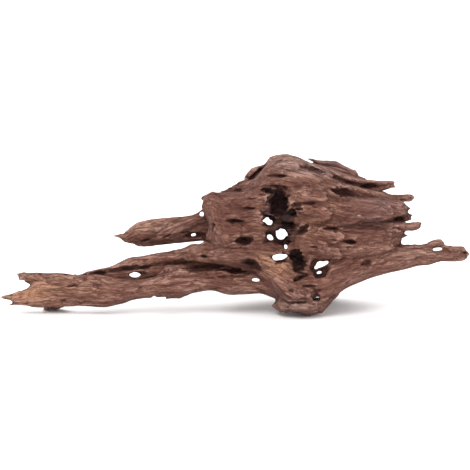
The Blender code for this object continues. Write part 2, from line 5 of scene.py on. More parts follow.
import bpy
import numpy as np
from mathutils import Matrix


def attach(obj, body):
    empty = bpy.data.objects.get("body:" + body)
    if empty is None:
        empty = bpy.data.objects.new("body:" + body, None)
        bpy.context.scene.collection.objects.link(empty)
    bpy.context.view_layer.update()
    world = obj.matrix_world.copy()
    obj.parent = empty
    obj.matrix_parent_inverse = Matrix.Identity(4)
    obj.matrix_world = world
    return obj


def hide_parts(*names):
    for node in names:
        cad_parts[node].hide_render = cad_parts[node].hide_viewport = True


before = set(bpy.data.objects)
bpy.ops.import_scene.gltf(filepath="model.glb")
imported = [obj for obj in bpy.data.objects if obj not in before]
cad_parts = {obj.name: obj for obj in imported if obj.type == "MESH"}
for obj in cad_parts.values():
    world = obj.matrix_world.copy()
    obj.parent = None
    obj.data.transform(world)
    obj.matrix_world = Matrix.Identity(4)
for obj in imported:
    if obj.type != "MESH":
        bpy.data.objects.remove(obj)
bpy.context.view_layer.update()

# The root's strands
# A root of dense hardwood that lay for years in a river. Its soft wood rotted away and left hard strands: a
# long beam, a blade, a flat plank, slats, plates and a horn, all grown as one piece. Each strand is a
# profile carried along a path.

# The drawing's axes, in millimetres: s runs along the root from its left tip, t up as the eye sees it, and
# d away from the eye.
MM = 0.001
EYE_TILT = math.radians(12.0)  # how far down the eye looks
GROUND_T = 2.2  # where the ground is drawn for a d of 0
MIDDLE_S = 234.6  # the s and the d that lie over the world's origin
MIDDLE_D = 16.0

# Each ring of a strand is (s, top t, bottom t, middle d, half depth).
STRANDS = {
    "beam_lower": (
        (0.5, 18.2, 17.2, -2, 1),
        (4, 20.3, 15.8, -2, 3),
        (10, 22, 14.5, -2, 6),
        (16, 23.2, 11.5, -2, 8),
        (23, 25, 10, -2, 10),
        (28, 27.5, 9, -2, 11),
        (33, 33, 8, -3, 12),
        (40, 36, 7.6, -3, 13),
        (55, 38, 7.6, -3, 13),
        (88, 39.5, 8.6, -4, 13),
        (105, 38.5, 8.2, -4, 14),
        (120, 36.5, 11, -4, 14),
        (138, 35.5, 16.2, -5, 14),
        (152, 38, 17.7, -6, 15),
        (165, 42, 18.8, -6, 16),
        (180, 45, 18.8, -6, 16),
        (195, 43.5, 22.5, -6, 16),
        (210, 44, 25.3, -6, 17),
        (225, 46, 22, -5, 18),
        (262, 42, 21.4, -3, 22),
        (276, 38, 16.5, -3, 22),
        (292, 36, 12, -3, 20),
    ),
    "beam_splinter": (
        (8, 10, 9.2, 0, 0.8),
        (12, 12, 9.4, 0, 2),
        (17, 13.5, 10.2, -1, 4),
        (24, 16, 10, -2, 6),
    ),
    "prong": (
        (19.3, 40.6, 34.2, 1, 3),
        (22, 41.8, 33.6, 1, 6),
        (28, 42.2, 32, 1, 8),
        (34, 42.6, 29, 0, 10),
        (45, 42.3, 26, -1, 11),
        (60, 42, 24, -1, 12),
        (68, 41, 24, -1, 12),
        (74, 39.6, 24, -2, 12),
        (82, 40.6, 24, -2, 11),
        (92, 43, 28, 0, 9),
    ),
    "prong_spike": ((15.6, 41.2, 40.6, 1, 0.8), (19, 41.8, 39.6, 1, 1.6), (24, 41.8, 38, 1, 3)),
    "beam_upper": (
        (85, 43, 41.5, 8, 3),
        (92, 44.7, 41, 8, 6),
        (100, 46.4, 41, 8, 9),
        (110, 48.5, 42, 9, 11),
        (120, 53, 43.5, 9, 12),
        (130, 57.2, 44.5, 9, 13),
        (140, 58.8, 45.5, 10, 14),
        (155, 61.7, 47, 10, 15),
        (183, 65.7, 50, 10, 17),
        (193, 71, 51.5, 10, 18),
        (200, 70, 53, 10, 18),
        (212, 74, 54, 10, 20),
        (230, 78, 53, 9, 22),
        (250, 75, 52, 8, 22),
    ),
    "beam_web": (
        (75, 42, 33, 3, 8),
        (95, 42.5, 33, 4, 9),
        (130, 47, 32, 5, 9),
        (170, 51, 38, 5, 11),
        (215, 56, 40, 5, 14),
        (245, 58, 42, 5, 16),
    ),
    "knuckle": ((160, 42, 38, -3, 8), (166, 49, 40, -4, 10), (174, 50, 38, -4, 11), (184, 50, 40, -3, 10)),
    "left_rest": (
        (44, 8, 6, 14, 2),
        (49, 12, 4.6, 13, 6),
        (56, 14, 4.6, 13, 7),
        (63, 16, 6.8, 11, 6),
        (70, 18, 8.4, 8, 5),
    ),
    "beam_hook": ((165.5, 18, 15.8, 6, 1.5), (170, 20, 16, 6, 4), (181, 22, 16.5, 6, 5), (187, 24, 20, 4, 5)),
    "blade": (
        (112.6, 79.8, 78.6, 22, 0.8),
        (119, 80.8, 77, 22, 2.5),
        (125, 83.3, 72.8, 23, 5),
        (131, 88, 71.5, 24, 7),
        (138, 92.5, 70.2, 25, 8.5),
        (146, 94.8, 69.7, 26, 9.5),
        (156, 96.7, 70.3, 27, 10),
        (172, 98.2, 72.3, 28, 11),
        (195, 98, 74, 28, 13),
        (210, 100, 75, 28, 15),
        (230, 106, 75, 27, 18),
        (250, 110, 72, 26, 20),
    ),
    "blade_strand": (
        (185, 98, 95, 30, 4),
        (192, 99.8, 96.3, 31, 4),
        (200, 104.3, 100.5, 31, 4),
        (206, 110, 105, 30, 5),
        (216, 118, 108, 28, 7),
    ),
    "plank": (
        (203.5, 118, 101, -13, 11),
        (208, 120.3, 93, -13, 16),
        (214, 121.5, 74, -13, 21),
        (222, 122.2, 64, -12, 26),
        (242, 122.6, 58, -11, 30),
        (251, 127, 55, -12, 31),
        (261, 130.6, 50, -13, 32),
        (272, 132, 44, -13, 32),
        (284, 131, 42, -11, 30),
        (296, 128, 46, -7, 25),
        (310, 120, 56, 0, 16),
    ),
    "sweep": (
        (176, 64, 55, 4, 7),
        (192, 68, 54, 1, 12),
        (208, 71, 52, -3, 18),
        (224, 76, 50, -8, 24),
        (240, 80, 47, -13, 28),
        (256, 80, 45, -15, 30),
        (272, 76, 42, -15, 30),
        (288, 68, 38, -12, 26),
        (304, 58, 34, -8, 18),
    ),
    "plank_lobe": (
        (206.5, 81, 76.5, -9, 6),
        (209, 87, 75, -10, 12),
        (214, 94, 71, -12, 19),
        (222, 98, 65, -12, 24),
        (235, 102, 60, -10, 29),
    ),
    "plank_spike_high": ((200.5, 116.5, 115.8, -6, 0.8), (204, 119.4, 115, -6, 3), (210, 120.6, 112, -7, 8)),
    "plank_spike_low": ((201.6, 110, 107.5, -6, 1.2), (204, 112, 105, -6, 3), (209, 113, 102, -8, 8)),
    "shoulder": (
        (222, 124, 118, 6, 6),
        (231, 127.5, 112, 7, 12),
        (239, 132.3, 110, 8, 14),
        (246, 135.5, 108, 9, 16),
        (256, 140, 106, 9, 18),
        (268, 150, 104, 9, 20),
    ),
    "knob": (
        (245.3, 139, 135, 14, 3),
        (247.5, 142.5, 132, 15, 7),
        (250, 145, 130, 16, 9),
        (254, 147, 126, 17, 12),
        (261, 148.6, 124, 18, 14),
        (265, 151, 122, 18, 15),
        (268, 156, 120, 18, 16),
        (273, 158.7, 118, 18, 18),
        (282, 160.4, 116, 18, 20),
        (291, 160.4, 116, 18, 20),
        (300, 157.6, 114, 18, 20),
        (306, 154.5, 112, 18, 18),
    ),
    "crest": (
        (243, 124, 120, -8, 4),
        (248, 128, 118, -8, 12),
        (256, 137, 116, -6, 20),
        (264, 147, 114, -4, 24),
        (270, 152, 112, -3, 26),
        (278, 156.5, 110, -2, 28),
        (288, 158, 108, -2, 30),
        (298, 156, 106, -2, 30),
        (308, 152, 104, -2, 30),
        (320, 147, 100, -3, 30),
        (335, 138, 98, -3, 28),
        (350, 130, 98, 0, 24),
        (366, 122, 100, 5, 14),
    ),
    "slat_rear": (
        (306.6, 157, 156.2, 34, 1),
        (312, 156.6, 153.5, 36, 5),
        (320, 155, 149, 38, 9),
        (329, 154.5, 147, 40, 12),
        (336, 153.8, 144.8, 41, 13),
        (344, 149.8, 142.8, 42, 13),
        (352, 145.9, 140, 43, 12),
        (356.5, 144, 138, 43, 9),
        (358.6, 140.5, 138, 43, 3),
    ),
    "slat_top": (
        (284, 158, 144, 18, 16),
        (296, 157.5, 143, 18, 18),
        (303, 155, 142.5, 19, 18),
        (311, 152.2, 141.5, 20, 18),
        (320, 149.5, 140.5, 21, 18),
        (332, 146.3, 138, 22, 18),
        (345, 141.7, 133, 23, 18),
        (358, 137.4, 130.5, 24, 17),
        (368, 135.7, 128.5, 25, 15),
        (380, 134.9, 127.5, 25, 12),
        (388, 134.6, 129.5, 25, 9),
        (393.5, 134, 131.5, 25, 5),
        (395, 133, 131.8, 25, 2),
    ),
    "slat_top_fork": ((386, 131, 126.5, 24, 6), (391, 131, 126.8, 24, 4), (395.2, 129.5, 127, 24, 1.5)),
    "slat_top_lip": (
        (352, 130, 124, 16, 8),
        (366, 128.5, 124, 17, 7),
        (377, 128, 123.5, 18, 6),
        (384, 129, 124.5, 18, 5),
        (389, 130, 126.5, 18, 2.5),
    ),
    "slat_middle": (
        (286, 147, 132, 2, 22),
        (300, 144, 130, 4, 24),
        (318, 139.7, 126, 6, 24),
        (335, 135, 123.5, 8, 22),
        (350, 130.3, 121.5, 9, 20),
        (365, 126.2, 119.5, 10, 17),
        (380, 122.7, 117.3, 10, 13),
        (392, 120.2, 114.8, 10, 10),
        (402, 119.9, 113.8, 10, 8),
        (410, 120.9, 113, 10, 6),
        (414, 118.6, 116.5, 10, 2.5),
    ),
    "plate_upper": (
        (268, 124, 108, -4, 12),
        (284, 131, 104, -10, 23),
        (300, 131, 99, -12, 27),
        (318, 128, 97, -10, 28),
        (335, 121, 90, -8, 28),
        (350, 118.5, 88, -6, 26),
        (368, 117, 88, -4, 24),
        (384, 115.8, 92, -3, 21),
        (396, 114.3, 94, -2, 17),
        (403, 112.5, 95, -1, 13),
        (407.3, 109, 102, 0, 6),
    ),
    "plate_end": (
        (396, 106, 93, 2, 14),
        (404, 103.5, 93.5, 3, 10),
        (409, 100.5, 94, 4, 5),
        (411.3, 98, 94.8, 4, 2),
    ),
    "plate_spike_high": ((404, 108, 105, 1, 4), (408, 107.8, 106, 1, 2), (411.3, 107.2, 106.4, 1, 0.8)),
    "plate_spike_low": ((404, 103, 99, 3, 5), (408, 101.3, 99.3, 3, 2.5), (413.2, 100.7, 99.8, 3, 0.8)),
    "stub": (
        (368, 99, 88, -6, 14),
        (384, 95.5, 87, -7, 13),
        (395, 94.5, 84.5, -8, 12),
        (404, 94, 83.7, -8, 10),
        (413, 94, 84.7, -8, 8),
        (419, 93.9, 87.5, -8, 5.5),
        (421.7, 92.6, 91, -8, 2),
    ),
    "stub_fork": ((412, 89, 84.6, -8, 6), (418, 88.5, 86, -8, 3.5), (421, 88.2, 87.4, -8, 1)),
    "plate_lower": (
        (280, 98, 62, -6, 14),
        (296, 100, 55, -13, 22),
        (315, 98, 53, -14, 25),
        (335, 94, 52, -12, 26),
        (355, 92, 52, -9, 25),
        (372, 91, 55, -7, 21),
        (385, 89.5, 57, -5, 18),
        (393, 86, 62, -4, 14),
        (398.5, 81, 69, -3, 8),
        (400.5, 78, 71, -3, 3),
    ),
    "plate_tooth_high": ((392, 87, 78, -4, 8), (399, 84, 80, -4, 5), (404.5, 83.7, 82.5, -4, 2)),
    "plate_tooth_low": (
        (394, 83, 72, -3, 7),
        (401, 80.8, 76, -3, 4),
        (405, 80.3, 78, -3, 2),
        (408.2, 79.9, 79, -3, 0.8),
    ),
    "horn": (
        (286, 58, 12, -14, 20),
        (300, 60, 10, -14, 24),
        (315, 60, 8, -13, 26),
        (330, 60, 15, -12, 25),
        (345, 61, 26.5, -10, 23),
        (360, 63, 34, -8, 20),
        (375, 66, 39, -6, 17),
        (390, 68.5, 42.5, -4, 14),
        (404, 69.3, 45.7, -2, 12),
        (418, 69, 49.7, 0, 10),
        (430, 68, 50.8, 1, 9),
        (440, 66.5, 53.5, 2, 8),
        (450, 67, 53.2, 2, 8),
        (460, 67.5, 54.5, 2, 7.5),
        (466, 65.6, 56, 2, 5.5),
        (469, 62, 59, 2, 2),
    ),
    "horn_lobe": (
        (416, 69.5, 64, 1, 6),
        (424, 71, 63, 2, 7),
        (431, 74, 64, 2, 7),
        (437, 75.8, 65, 2, 6),
        (441, 76, 66, 2, 5),
        (443.3, 73, 67, 2, 3),
    ),
    "horn_strand": ((442, 69, 64, 1, 4), (446, 69, 63, 1, 5), (452, 68.8, 62, 1, 6), (463, 68.3, 60, 2, 6)),
    "front_foot": (
        (271.8, 10, 8.4, -8, 2),
        (275, 12.6, 6.2, -10, 8),
        (280, 18, 2.4, -12, 15),
        (290, 24, 3.2, -13, 19),
        (300, 26, 2.3, -13, 21),
        (309, 27, -0.8, -13, 21),
        (317, 27, 2.5, -13, 20),
        (322, 26, 2.2, -12, 18),
        (328, 24, 8, -11, 15),
        (334, 24, 17, -10, 12),
    ),
    "nose": (
        (248, 66, 52, -17, 8),
        (256, 66, 44, -20, 12),
        (265, 63, 36, -23, 15),
        (274, 60, 27, -26, 17),
        (283, 56, 18, -28, 18),
        (292, 50, 12, -28, 17),
        (302, 42, 9, -24, 16),
        (312, 36, 8, -20, 14),
    ),
    "heart": (
        (226, 110, 62, 14, 20),
        (240, 122, 56, 16, 34),
        (260, 134, 48, 18, 42),
        (280, 142, 40, 18, 49),
        (300, 142, 34, 18, 53),
        (320, 136, 34, 19, 53),
        (340, 127, 40, 19, 49),
        (360, 120, 48, 19, 42),
        (380, 112, 58, 18, 31),
        (394, 106, 68, 16, 18),
    ),
    "back_slat_high": (
        (262, 140, 120, 46, 12),
        (285, 146, 122, 52, 14),
        (310, 146, 120, 55, 15),
        (335, 138, 116, 54, 14),
        (360, 130, 110, 50, 12),
        (382, 124, 108, 44, 8),
        (396, 119, 112, 40, 3),
    ),
    "back_slat_middle": (
        (232, 112, 92, 36, 12),
        (255, 116, 88, 48, 16),
        (285, 116, 84, 58, 18),
        (315, 112, 80, 61, 18),
        (345, 106, 78, 58, 16),
        (372, 100, 78, 50, 13),
        (395, 96, 82, 40, 8),
        (404, 92, 86, 36, 3),
    ),
    "back_slat_low": (
        (218, 92, 70, 34, 8),
        (240, 88, 60, 46, 14),
        (270, 84, 52, 56, 17),
        (305, 80, 50, 61, 18),
        (335, 78, 52, 58, 17),
        (365, 76, 58, 48, 12),
        (388, 74, 64, 38, 6),
    ),
    "rear_foot": (
        (288, 52, 30, 46, 8),
        (300, 52, 22, 54, 12),
        (311, 50, 15, 60, 15),
        (322, 50, 14, 62, 16),
        (334, 54, 24, 60, 14),
        (350, 60, 38, 54, 14),
        (372, 66, 50, 46, 12),
    ),
    "slat_web": (
        (312, 152, 142, 30, 8),
        (325, 150, 140, 32, 10),
        (340, 147, 137, 33, 10),
        (352, 142.5, 133, 33, 9),
        (364, 137, 131, 31, 6),
    ),
    "blade_ridge": (
        (138, 76, 71.5, 21, 2),
        (155, 83, 73, 20.5, 4),
        (172, 92, 79, 20, 5),
        (188, 98, 85, 19, 5),
        (202, 102, 91, 18, 5),
        (214, 107, 96, 16, 4),
    ),
}

# The ridges that the hard wood makes round a strand: from one groove to the next, and from groove to ridge
RIDGES = ((26.0, 2.0), (13.0, 1.7), (7.5, 1.0))
RIDGE_SHARE = 0.25  # the skin's ridges are lower than the solid's, as fine fibres come on top of them
RIDGE_WANDER = 60.0  # how far along s their phase drifts by up to one radian, besides its swing
MEAN_RIDGE = 0.64  # the mean of |cos|
FULL_RIDGES_AT = 9.0  # the half thickness from which a strand is fully ridged
SQUARENESS = 0.85  # 1 makes a strand's section oval, and less makes it squarer

# The block of air and wood that the strands are worked out in, cell by cell
CELL = 1.0
LOWEST = (-6.0, -8.0, -60.0)
HIGHEST = (476.0, 170.0, 90.0)
CLEAR_OF_WOOD = 9.0  # the greatest distance that a cell holds
PAST_END = 6.0  # how far past its ends a strand's own cells go
RIDGED_WITHIN = 7.0  # how near the face a cell lies that ridges and slits reach
GROWN_TOGETHER = 3.0  # how widely a strand flows into its neighbours
GROWN_WIDER = {
    "nose": 14.0,
    "plank_lobe": 10.0,
    "plank": 8.0,
    "front_foot": 8.0,
    "sweep": 6.0,
    "plate_lower": 6.0,
    "plate_upper": 6.0,
    "knuckle": 5.0,
}

grid_axes = [np.arange(low, high, CELL, dtype=np.float32) for low, high in zip(LOWEST, HIGHEST)]
grid_shape = tuple(len(axis) for axis in grid_axes)
wood = np.full(grid_shape, CLEAR_OF_WOOD, np.float32)  # millimetres to the wood's face, less than 0 inside it
beside_grain = np.zeros((2, *grid_shape), np.float32)  # to the strand's middle line, along t and d
slope = np.zeros(grid_shape, np.float16)  # how steeply the strand's grain climbs along s
strength = np.zeros(grid_shape, np.float16)  # how much relief the strand's thickness can bear, 0 to 1


def to_world(points):
    """The drawing's s, t, d as x, y, z in metres. What lies farther back is drawn higher, and the eye's
    tilt makes heights shorter, so z is (t - ground - d sin(tilt)) / cos(tilt)."""
    s, t, d = points.T
    height = (t - GROUND_T - d * math.sin(EYE_TILT)) / math.cos(EYE_TILT)
    return np.stack([s - MIDDLE_S, d - MIDDLE_D, height], axis=1) * MM


def cells_between(low, high):
    """The part of the grid between two corners: its slices, and its s, t and d as arrays that broadcast."""
    cut = tuple(
        slice(*np.searchsorted(axis, (near, far)).tolist()) for axis, near, far in zip(grid_axes, low, high)
    )
    return cut, *np.meshgrid(*(axis[part] for axis, part in zip(grid_axes, cut)), indexing="ij", sparse=True)


def along(rings, s):
    """Ring sizes at each s, on a cubic curve through the given rings. Its slope at a ring is taken from the
    rings beside it, and each value is kept between those of the two rings round it."""
    knots, values = rings[:, 0], rings[:, 1:]
    slopes = np.gradient(values, knots, axis=0)
    i = np.clip(np.searchsorted(knots, s, side="right") - 1, 0, len(knots) - 2)
    width = (knots[i + 1] - knots[i])[:, None]
    u = ((s - knots[i]) / width[:, 0])[:, None]
    smooth = (
        (2 * u**3 - 3 * u**2 + 1) * values[i]
        + (u**3 - 2 * u**2 + u) * slopes[i] * width
        + (3 * u**2 - 2 * u**3) * values[i + 1]
        + (u**3 - u**2) * slopes[i + 1] * width
    )
    return np.clip(smooth, np.minimum(values[i], values[i + 1]), np.maximum(values[i], values[i + 1]))


def ridges(angle, s, girth, strand):
    """Millimetres of ridge: the sum of |cos| waves round the strand, less their mean. They have sharp
    grooves, and their phase wanders along s."""
    draw = np.random.default_rng(strand)
    total = np.zeros_like(angle)
    for pitch, height in RIDGES:
        half_waves = max(2, round(girth / pitch)) / 2
        phase, lean, swing = draw.uniform(0, 6.28), draw.uniform(-1, 1), draw.uniform(0.6, 1.2)
        wander = lean * s / RIDGE_WANDER + swing * np.sin(s / RIDGE_WANDER * 2.4 + 3 * phase)
        total += height * (np.abs(np.cos(half_waves * angle + phase + wander)) - MEAN_RIDGE)
    return total


LUMPS_EACH_WAY = 32
LUMPS = np.random.default_rng(11).uniform(-1, 1, (LUMPS_EACH_WAY,) * 3).astype(np.float32)


def lump_noise(x, y, z, size):
    """Smooth noise of -1 to 1 in space: a seeded value every size along x, y and z, eased from one to the
    next by 3 u^2 - 2 u^3."""
    total, parts = 0, []
    for axis, step in zip((x, y, z), size):
        u = axis / np.float32(step) + np.float32(2 * LUMPS_EACH_WAY)
        i = np.floor(u).astype(np.int32)
        u = u - i
        parts.append((i % LUMPS_EACH_WAY, (i + 1) % LUMPS_EACH_WAY, u * u * (3 - 2 * u)))
    (i, far_i, u), (j, far_j, v), (k, far_k, w) = parts
    for index_i, weight_i in ((i, 1 - u), (far_i, u)):
        for index_j, weight_j in ((j, 1 - v), (far_j, v)):
            for index_k, weight_k in ((k, 1 - w), (far_k, w)):
                total = total + weight_i * weight_j * weight_k * LUMPS[index_i, index_j, index_k]
    return total


TORN_END = 7.0  # how far the fibres at a strand's end differ in length
TORN_FIBRES = (2.4, 2.4, 60)  # their size along t, d and s
FRAYED = 20.0  # how far from the end its fibres are split
SLITS = (2.6, 5, 50)  # the size along t, d and s of the noise that splits them
SLIT_DEPTH = 4.0
SLIT_OPEN = 0.22
STEEPEST_GRAIN = 0.45  # where a strand climbs more steeply than this, its fibres cross it
GIRTH_STEP = 4.0  # how far apart the rings lie that a strand's girth is taken from
WORN_ENDS = ("plank", "plank_lobe")  # these end in a worn edge, with no torn fibres


def grow_strand(rings, strand, together, torn_share):
    """Adds one strand to the wood. With a and b the distances from its middle as shares of the half sizes,
    its face is where (|a|^p + |b|^p)^(1/p) = 1, moved out by its ridges and in by slits near its ends.
    Noise that is long along the grain, times torn_share, says where each fibre ends. Where two strands
    meet, m^2 / (4 together) comes off the distance, with m from 0 to together, so that they flow together."""
    rings = np.array(rings, float)
    first, last = rings[0, 0], rings[-1, 0]
    near, far = rings[:, 3] - rings[:, 4], rings[:, 3] + rings[:, 4]
    low = (first - PAST_END, rings[:, 2].min() - CLEAR_OF_WOOD, near.min() - CLEAR_OF_WOOD)
    high = (last + PAST_END, rings[:, 1].max() + CLEAR_OF_WOOD, far.max() + CLEAR_OF_WOOD)
    cut, s, t, d = cells_between(low, high)
    own_s = s + 40 * strand  # each strand has noise of its own
    on = np.clip(s.ravel(), first, last).astype(float)
    top, bottom, middle_d, half_d = along(rings, on).T.astype(np.float32)[:, :, None, None]
    half_t, middle_t = (top - bottom) / 2, (top + bottom) / 2
    climb = np.clip(np.gradient(middle_t.ravel()), -STEEPEST_GRAIN, STEEPEST_GRAIN)
    grain_t = np.cumsum(climb) + middle_t.ravel().mean() - np.cumsum(climb).mean()
    grain_t = grain_t.astype(np.float32)[:, None, None]
    a, b = (t - middle_t) / half_t, (d - middle_d) / half_d
    power = 2 / SQUARENESS
    share = (np.abs(a) ** power + np.abs(b) ** power) ** (1 / power)
    steep = np.sqrt((a / half_t) ** 2 + (b / half_d) ** 2) / (share + 1e-4) + 1e-4
    face = (share - 1) / steep
    thickness = np.minimum(half_t, half_d)
    i, j, k = near_face = np.nonzero(np.abs(face) < RIDGED_WITHIN)
    a, b = a[i, j, 0], b[i, 0, k]
    angle = np.arctan2(np.sign(b) * np.abs(b) ** (power / 2), np.sign(a) * np.abs(a) ** (power / 2))
    sampled = along(rings, np.linspace(first, last, max(3, int((last - first) / GIRTH_STEP) + 1)))
    half_heights = (sampled[:, 0] - sampled[:, 1]) / 2
    girth = 2 * math.pi * math.sqrt((half_heights.max() ** 2 + sampled[:, 3].max() ** 2) / 2)
    swell = np.abs(np.gradient(half_t.ravel())) + 0.8 * np.abs(np.gradient(middle_t.ravel()))
    ridged = np.clip(thickness.ravel() / FULL_RIDGES_AT, 0, 1) * np.clip(1.4 - 1.6 * swell, 0, 1)
    to_end = np.minimum(s.ravel() - first, last - s.ravel())
    fray = np.clip(1 - to_end / FRAYED, 0, 1) * np.clip((thickness.ravel() - 1.5) / 3, 0, 1)
    slit = lump_noise((t - middle_t)[i, j, 0], (d - middle_d)[i, 0, k], own_s.ravel()[i], SLITS)
    face[near_face] += SLIT_DEPTH * torn_share * fray[i] * np.clip(1 - np.abs(slit) / SLIT_OPEN, 0, 1)
    face[near_face] -= RIDGE_SHARE * ridges(angle, s.ravel()[i], girth, strand) * ridged[i]
    torn = TORN_END * np.abs(lump_noise(t - middle_t, d - middle_d, own_s, TORN_FIBRES))
    torn = (torn - 0.35 * TORN_END) * torn_share * np.clip(thickness / 6, 0, 1)
    face = np.maximum(face, np.maximum(first - s, s - last) + torn)
    here = wood[cut]
    nearer = face < here
    for grid, value in ((beside_grain[0], t - grain_t), (beside_grain[1], d - middle_d + 37 * strand)):
        grid[cut] = np.where(nearer, value, grid[cut])
    slope[cut] = np.where(nearer, climb[:, None, None], slope[cut])
    strength[cut] = np.where(nearer, np.clip(thickness / FULL_RIDGES_AT, 0.1, 1), strength[cut])
    meet = np.maximum(together - np.abs(here - face), 0) / together
    wood[cut] = np.minimum(np.minimum(here, face) - meet * meet * together / 4, CLEAR_OF_WOOD)


for strand, (name, rings) in enumerate(STRANDS.items()):
    grow_strand(rings, strand, GROWN_WIDER.get(name, GROWN_TOGETHER), 0.0 if name in WORN_ENDS else 1.0)

# Its torn surface
# Weather tears the hard strands along the grain: steps between torn layers, lumps, fibres and a few deep
# cracks. The grain waves, and thin strands have less relief than thick ones.

# Each is its size along s, t and d, and its height, or for a wave how far it shifts the fibres.
LAYERS = (56.0, 6.0, 6.0, 1.2)
LUMPY = (34.0, 13.0, 13.0, 1.2)
FIBRES = (18.0, 2.4, 2.4, 0.7)
CRACKS = (60.0, 11.0, 11.0, 1.7)
LONG_WAVE = (38.0, 18.0, 18.0, 3.5)
SHORT_WAVE = (14.0, 9.0, 9.0, 1.2)
STEPS = 2.4  # how many steps there are from the middle layer to the highest
STEP_FROM = 0.38  # where between two layers the step begins, and how much of the way it takes
STEP_TAKES = 0.24
CRACK_OPEN = 0.1
TORN_WITHIN = 5.0  # how near the face a cell lies that the relief reaches


def waved_grain(s, beside_t, beside_d):
    """The distances from the strand's middle line, shifted by a long wave of noise and a short one."""
    wave = LONG_WAVE[3] * lump_noise(s, beside_t, beside_d, LONG_WAVE[:3])
    wave += SHORT_WAVE[3] * lump_noise(s + 100, beside_t, beside_d, SHORT_WAVE[:3])
    return beside_t + wave, beside_d - 0.6 * wave


def torn_relief(s, beside_t, beside_d):
    """Layers are noise rounded to steps, with a steep edge between them. Lumps and fibres are noise, and a
    crack runs where a last noise is near 0. All are stretched along the waved grain."""
    beside_t, beside_d = waved_grain(s, beside_t, beside_d)
    layer = STEPS * lump_noise(s, beside_t, beside_d, LAYERS[:3])
    lower = np.floor(layer)
    edge = np.clip((layer - lower - STEP_FROM) / STEP_TAKES, 0, 1)
    relief = LAYERS[3] * (lower + edge * edge * (3 - 2 * edge)) / STEPS
    relief += LUMPY[3] * lump_noise(s, beside_t + 20, beside_d, LUMPY[:3])
    relief += FIBRES[3] * lump_noise(s, beside_t + 50, beside_d, FIBRES[:3])
    crack = lump_noise(s, beside_t, beside_d + 50, CRACKS[:3])
    return relief - CRACKS[3] * np.clip(1 - np.abs(crack) / CRACK_OPEN, 0, 1)


i, j, k = near_face = np.nonzero(np.abs(wood) < TORN_WITHIN)
relief = torn_relief(grid_axes[0][i], beside_grain[0][near_face], beside_grain[1][near_face])
# Where the face looks along the grain, it has half of the relief.
on_right, on_left = wood[np.minimum(i + 1, grid_shape[0] - 1), j, k], wood[np.maximum(i - 1, 0), j, k]
end_on = np.abs(on_right - on_left) / (2 * CELL)
wood[near_face] -= relief * strength[near_face] * (1 - 0.5 * np.clip(end_on, 0, 1))

# Scales are thin layers that lie on one another and end in a torn edge. Each is (s, t, half length, half
# width, tilt in degrees, height), and its torn edge is at its right, or at its left for a length below 0.
SCALES = (
    (307, 124, 23, 10, -14, 4.8),
    (313, 101, 19, 9, -4, 5.0),
    (329, 81, 16, 8.5, -14, 4.8),
    (330, 62, 14, 8, -8, 4.2),
    (367, 104, 28, 11, -3, 4.2),
    (376, 82, 28, 10, -4, 4.0),
    (342, 112, 14, 4, -8, 1.6),
    (304, 91, 10, 6, -32, 3.4),
    (320, 69, 11, 7, -26, 3.4),
    (298, 113, 10, 6, -20, 2.6),
    (346, 72, 12, 6, 12, 2.6),
    (352, 96, 14, 6, 8, 2.4),
    (309, 56, 9, 6, -36, 2.6),
    (342, 52, 12, 5, 16, 2.2),
    (176, 44, 15, 6, 6, 2.2),
    (137, 51, 9, 4, 10, 1.8),
    (238, 112, 26, 6, 2, 1.6),
    (228, 84, 18, 8, -4, 1.4),
    (262, 102, 12, 8, 4, 1.4),
    (70, 26, 34, 7, 4, 1.4),
    (118, 28, 26, 6, 3, 1.6),
    (206, 42, 22, 5, 2, 1.6),
    (150, 86, 24, 7, 8, 1.6),
    (284, 147, 22, 6, 12, 1.8),
    (296, 140, 26, 6, -12, 2.0),
    (262, 128, 20, 6, 22, 1.8),
    (300, 22, 18, 6, -4, 1.8),
    (296, 8, 16, 4, 0, 1.6),
    (350, 60, 20, 5, 24, 1.8),
    (398, 58, 26, 5, 10, 1.4),
    (282, 30, -12, 7, -30, 1.4),
)
STREWN_SCALES = 40  # more of them, anywhere on the back


def face_of_wood(side):
    """For each s and t, the d of the first cell of wood from the front (side -1) or from behind (side 1), and
    NaN where there is no wood."""
    solid = wood < 0
    if side > 0:
        solid = solid[:, :, ::-1]
    first = solid.argmax(axis=2)
    d = grid_axes[2][::-1][first] if side > 0 else grid_axes[2][first]
    return np.where(solid.any(axis=2), d, np.nan)


def turned(s, t, tilt):
    """The distances s and t measured along and across a line that rises by tilt degrees."""
    lean = math.radians(tilt)
    return s * math.cos(lean) + t * math.sin(lean), t * math.cos(lean) - s * math.sin(lean)


def grain_tilt(face, i, j):
    """How many degrees the grain rises along s, at the face of the wood i cells along s and j along t."""
    k = int(np.clip((face[i, j] - LOWEST[2]) / CELL, 0, grid_shape[2] - 1))
    return math.degrees(math.atan(float(slope[i, j, k])))


def raise_scale(face, s0, t0, half_length, half_width, tilt, height):
    """Raises a ragged tongue of the face. With u and v the places along and across it as shares of its half
    sizes, it rises along u to its full height, ends where u + v^2 / 2 = 1, and slopes off to v = -1 and 1."""
    reach = abs(half_length) + 4
    cut, s, t, d = cells_between((s0 - reach, t0 - reach, LOWEST[2]), (s0 + reach, t0 + reach, HIGHEST[2]))
    ragged = 0.22 * lump_noise(s, t, d, (9, 3, 9)) + 0.12 * lump_noise(s, t, d, (4, 2, 5))
    lengthwise, sideways = turned(s - s0, t - t0, tilt)
    u = lengthwise / half_length + ragged
    v = sideways / half_width + ragged
    inside = np.clip((1 - u - 0.5 * v * v) * abs(half_length) / 2.5, 0, 1) * np.clip((1 - v * v) * 1.4, 0, 1)
    off_face = np.abs(d - np.nan_to_num(face[cut[:2]], nan=-500.0)[:, :, None])
    wood[cut] -= height * inside * np.clip(0.6 + 0.6 * u, 0, 1) * np.clip(2 - off_face / 6, 0, 1)


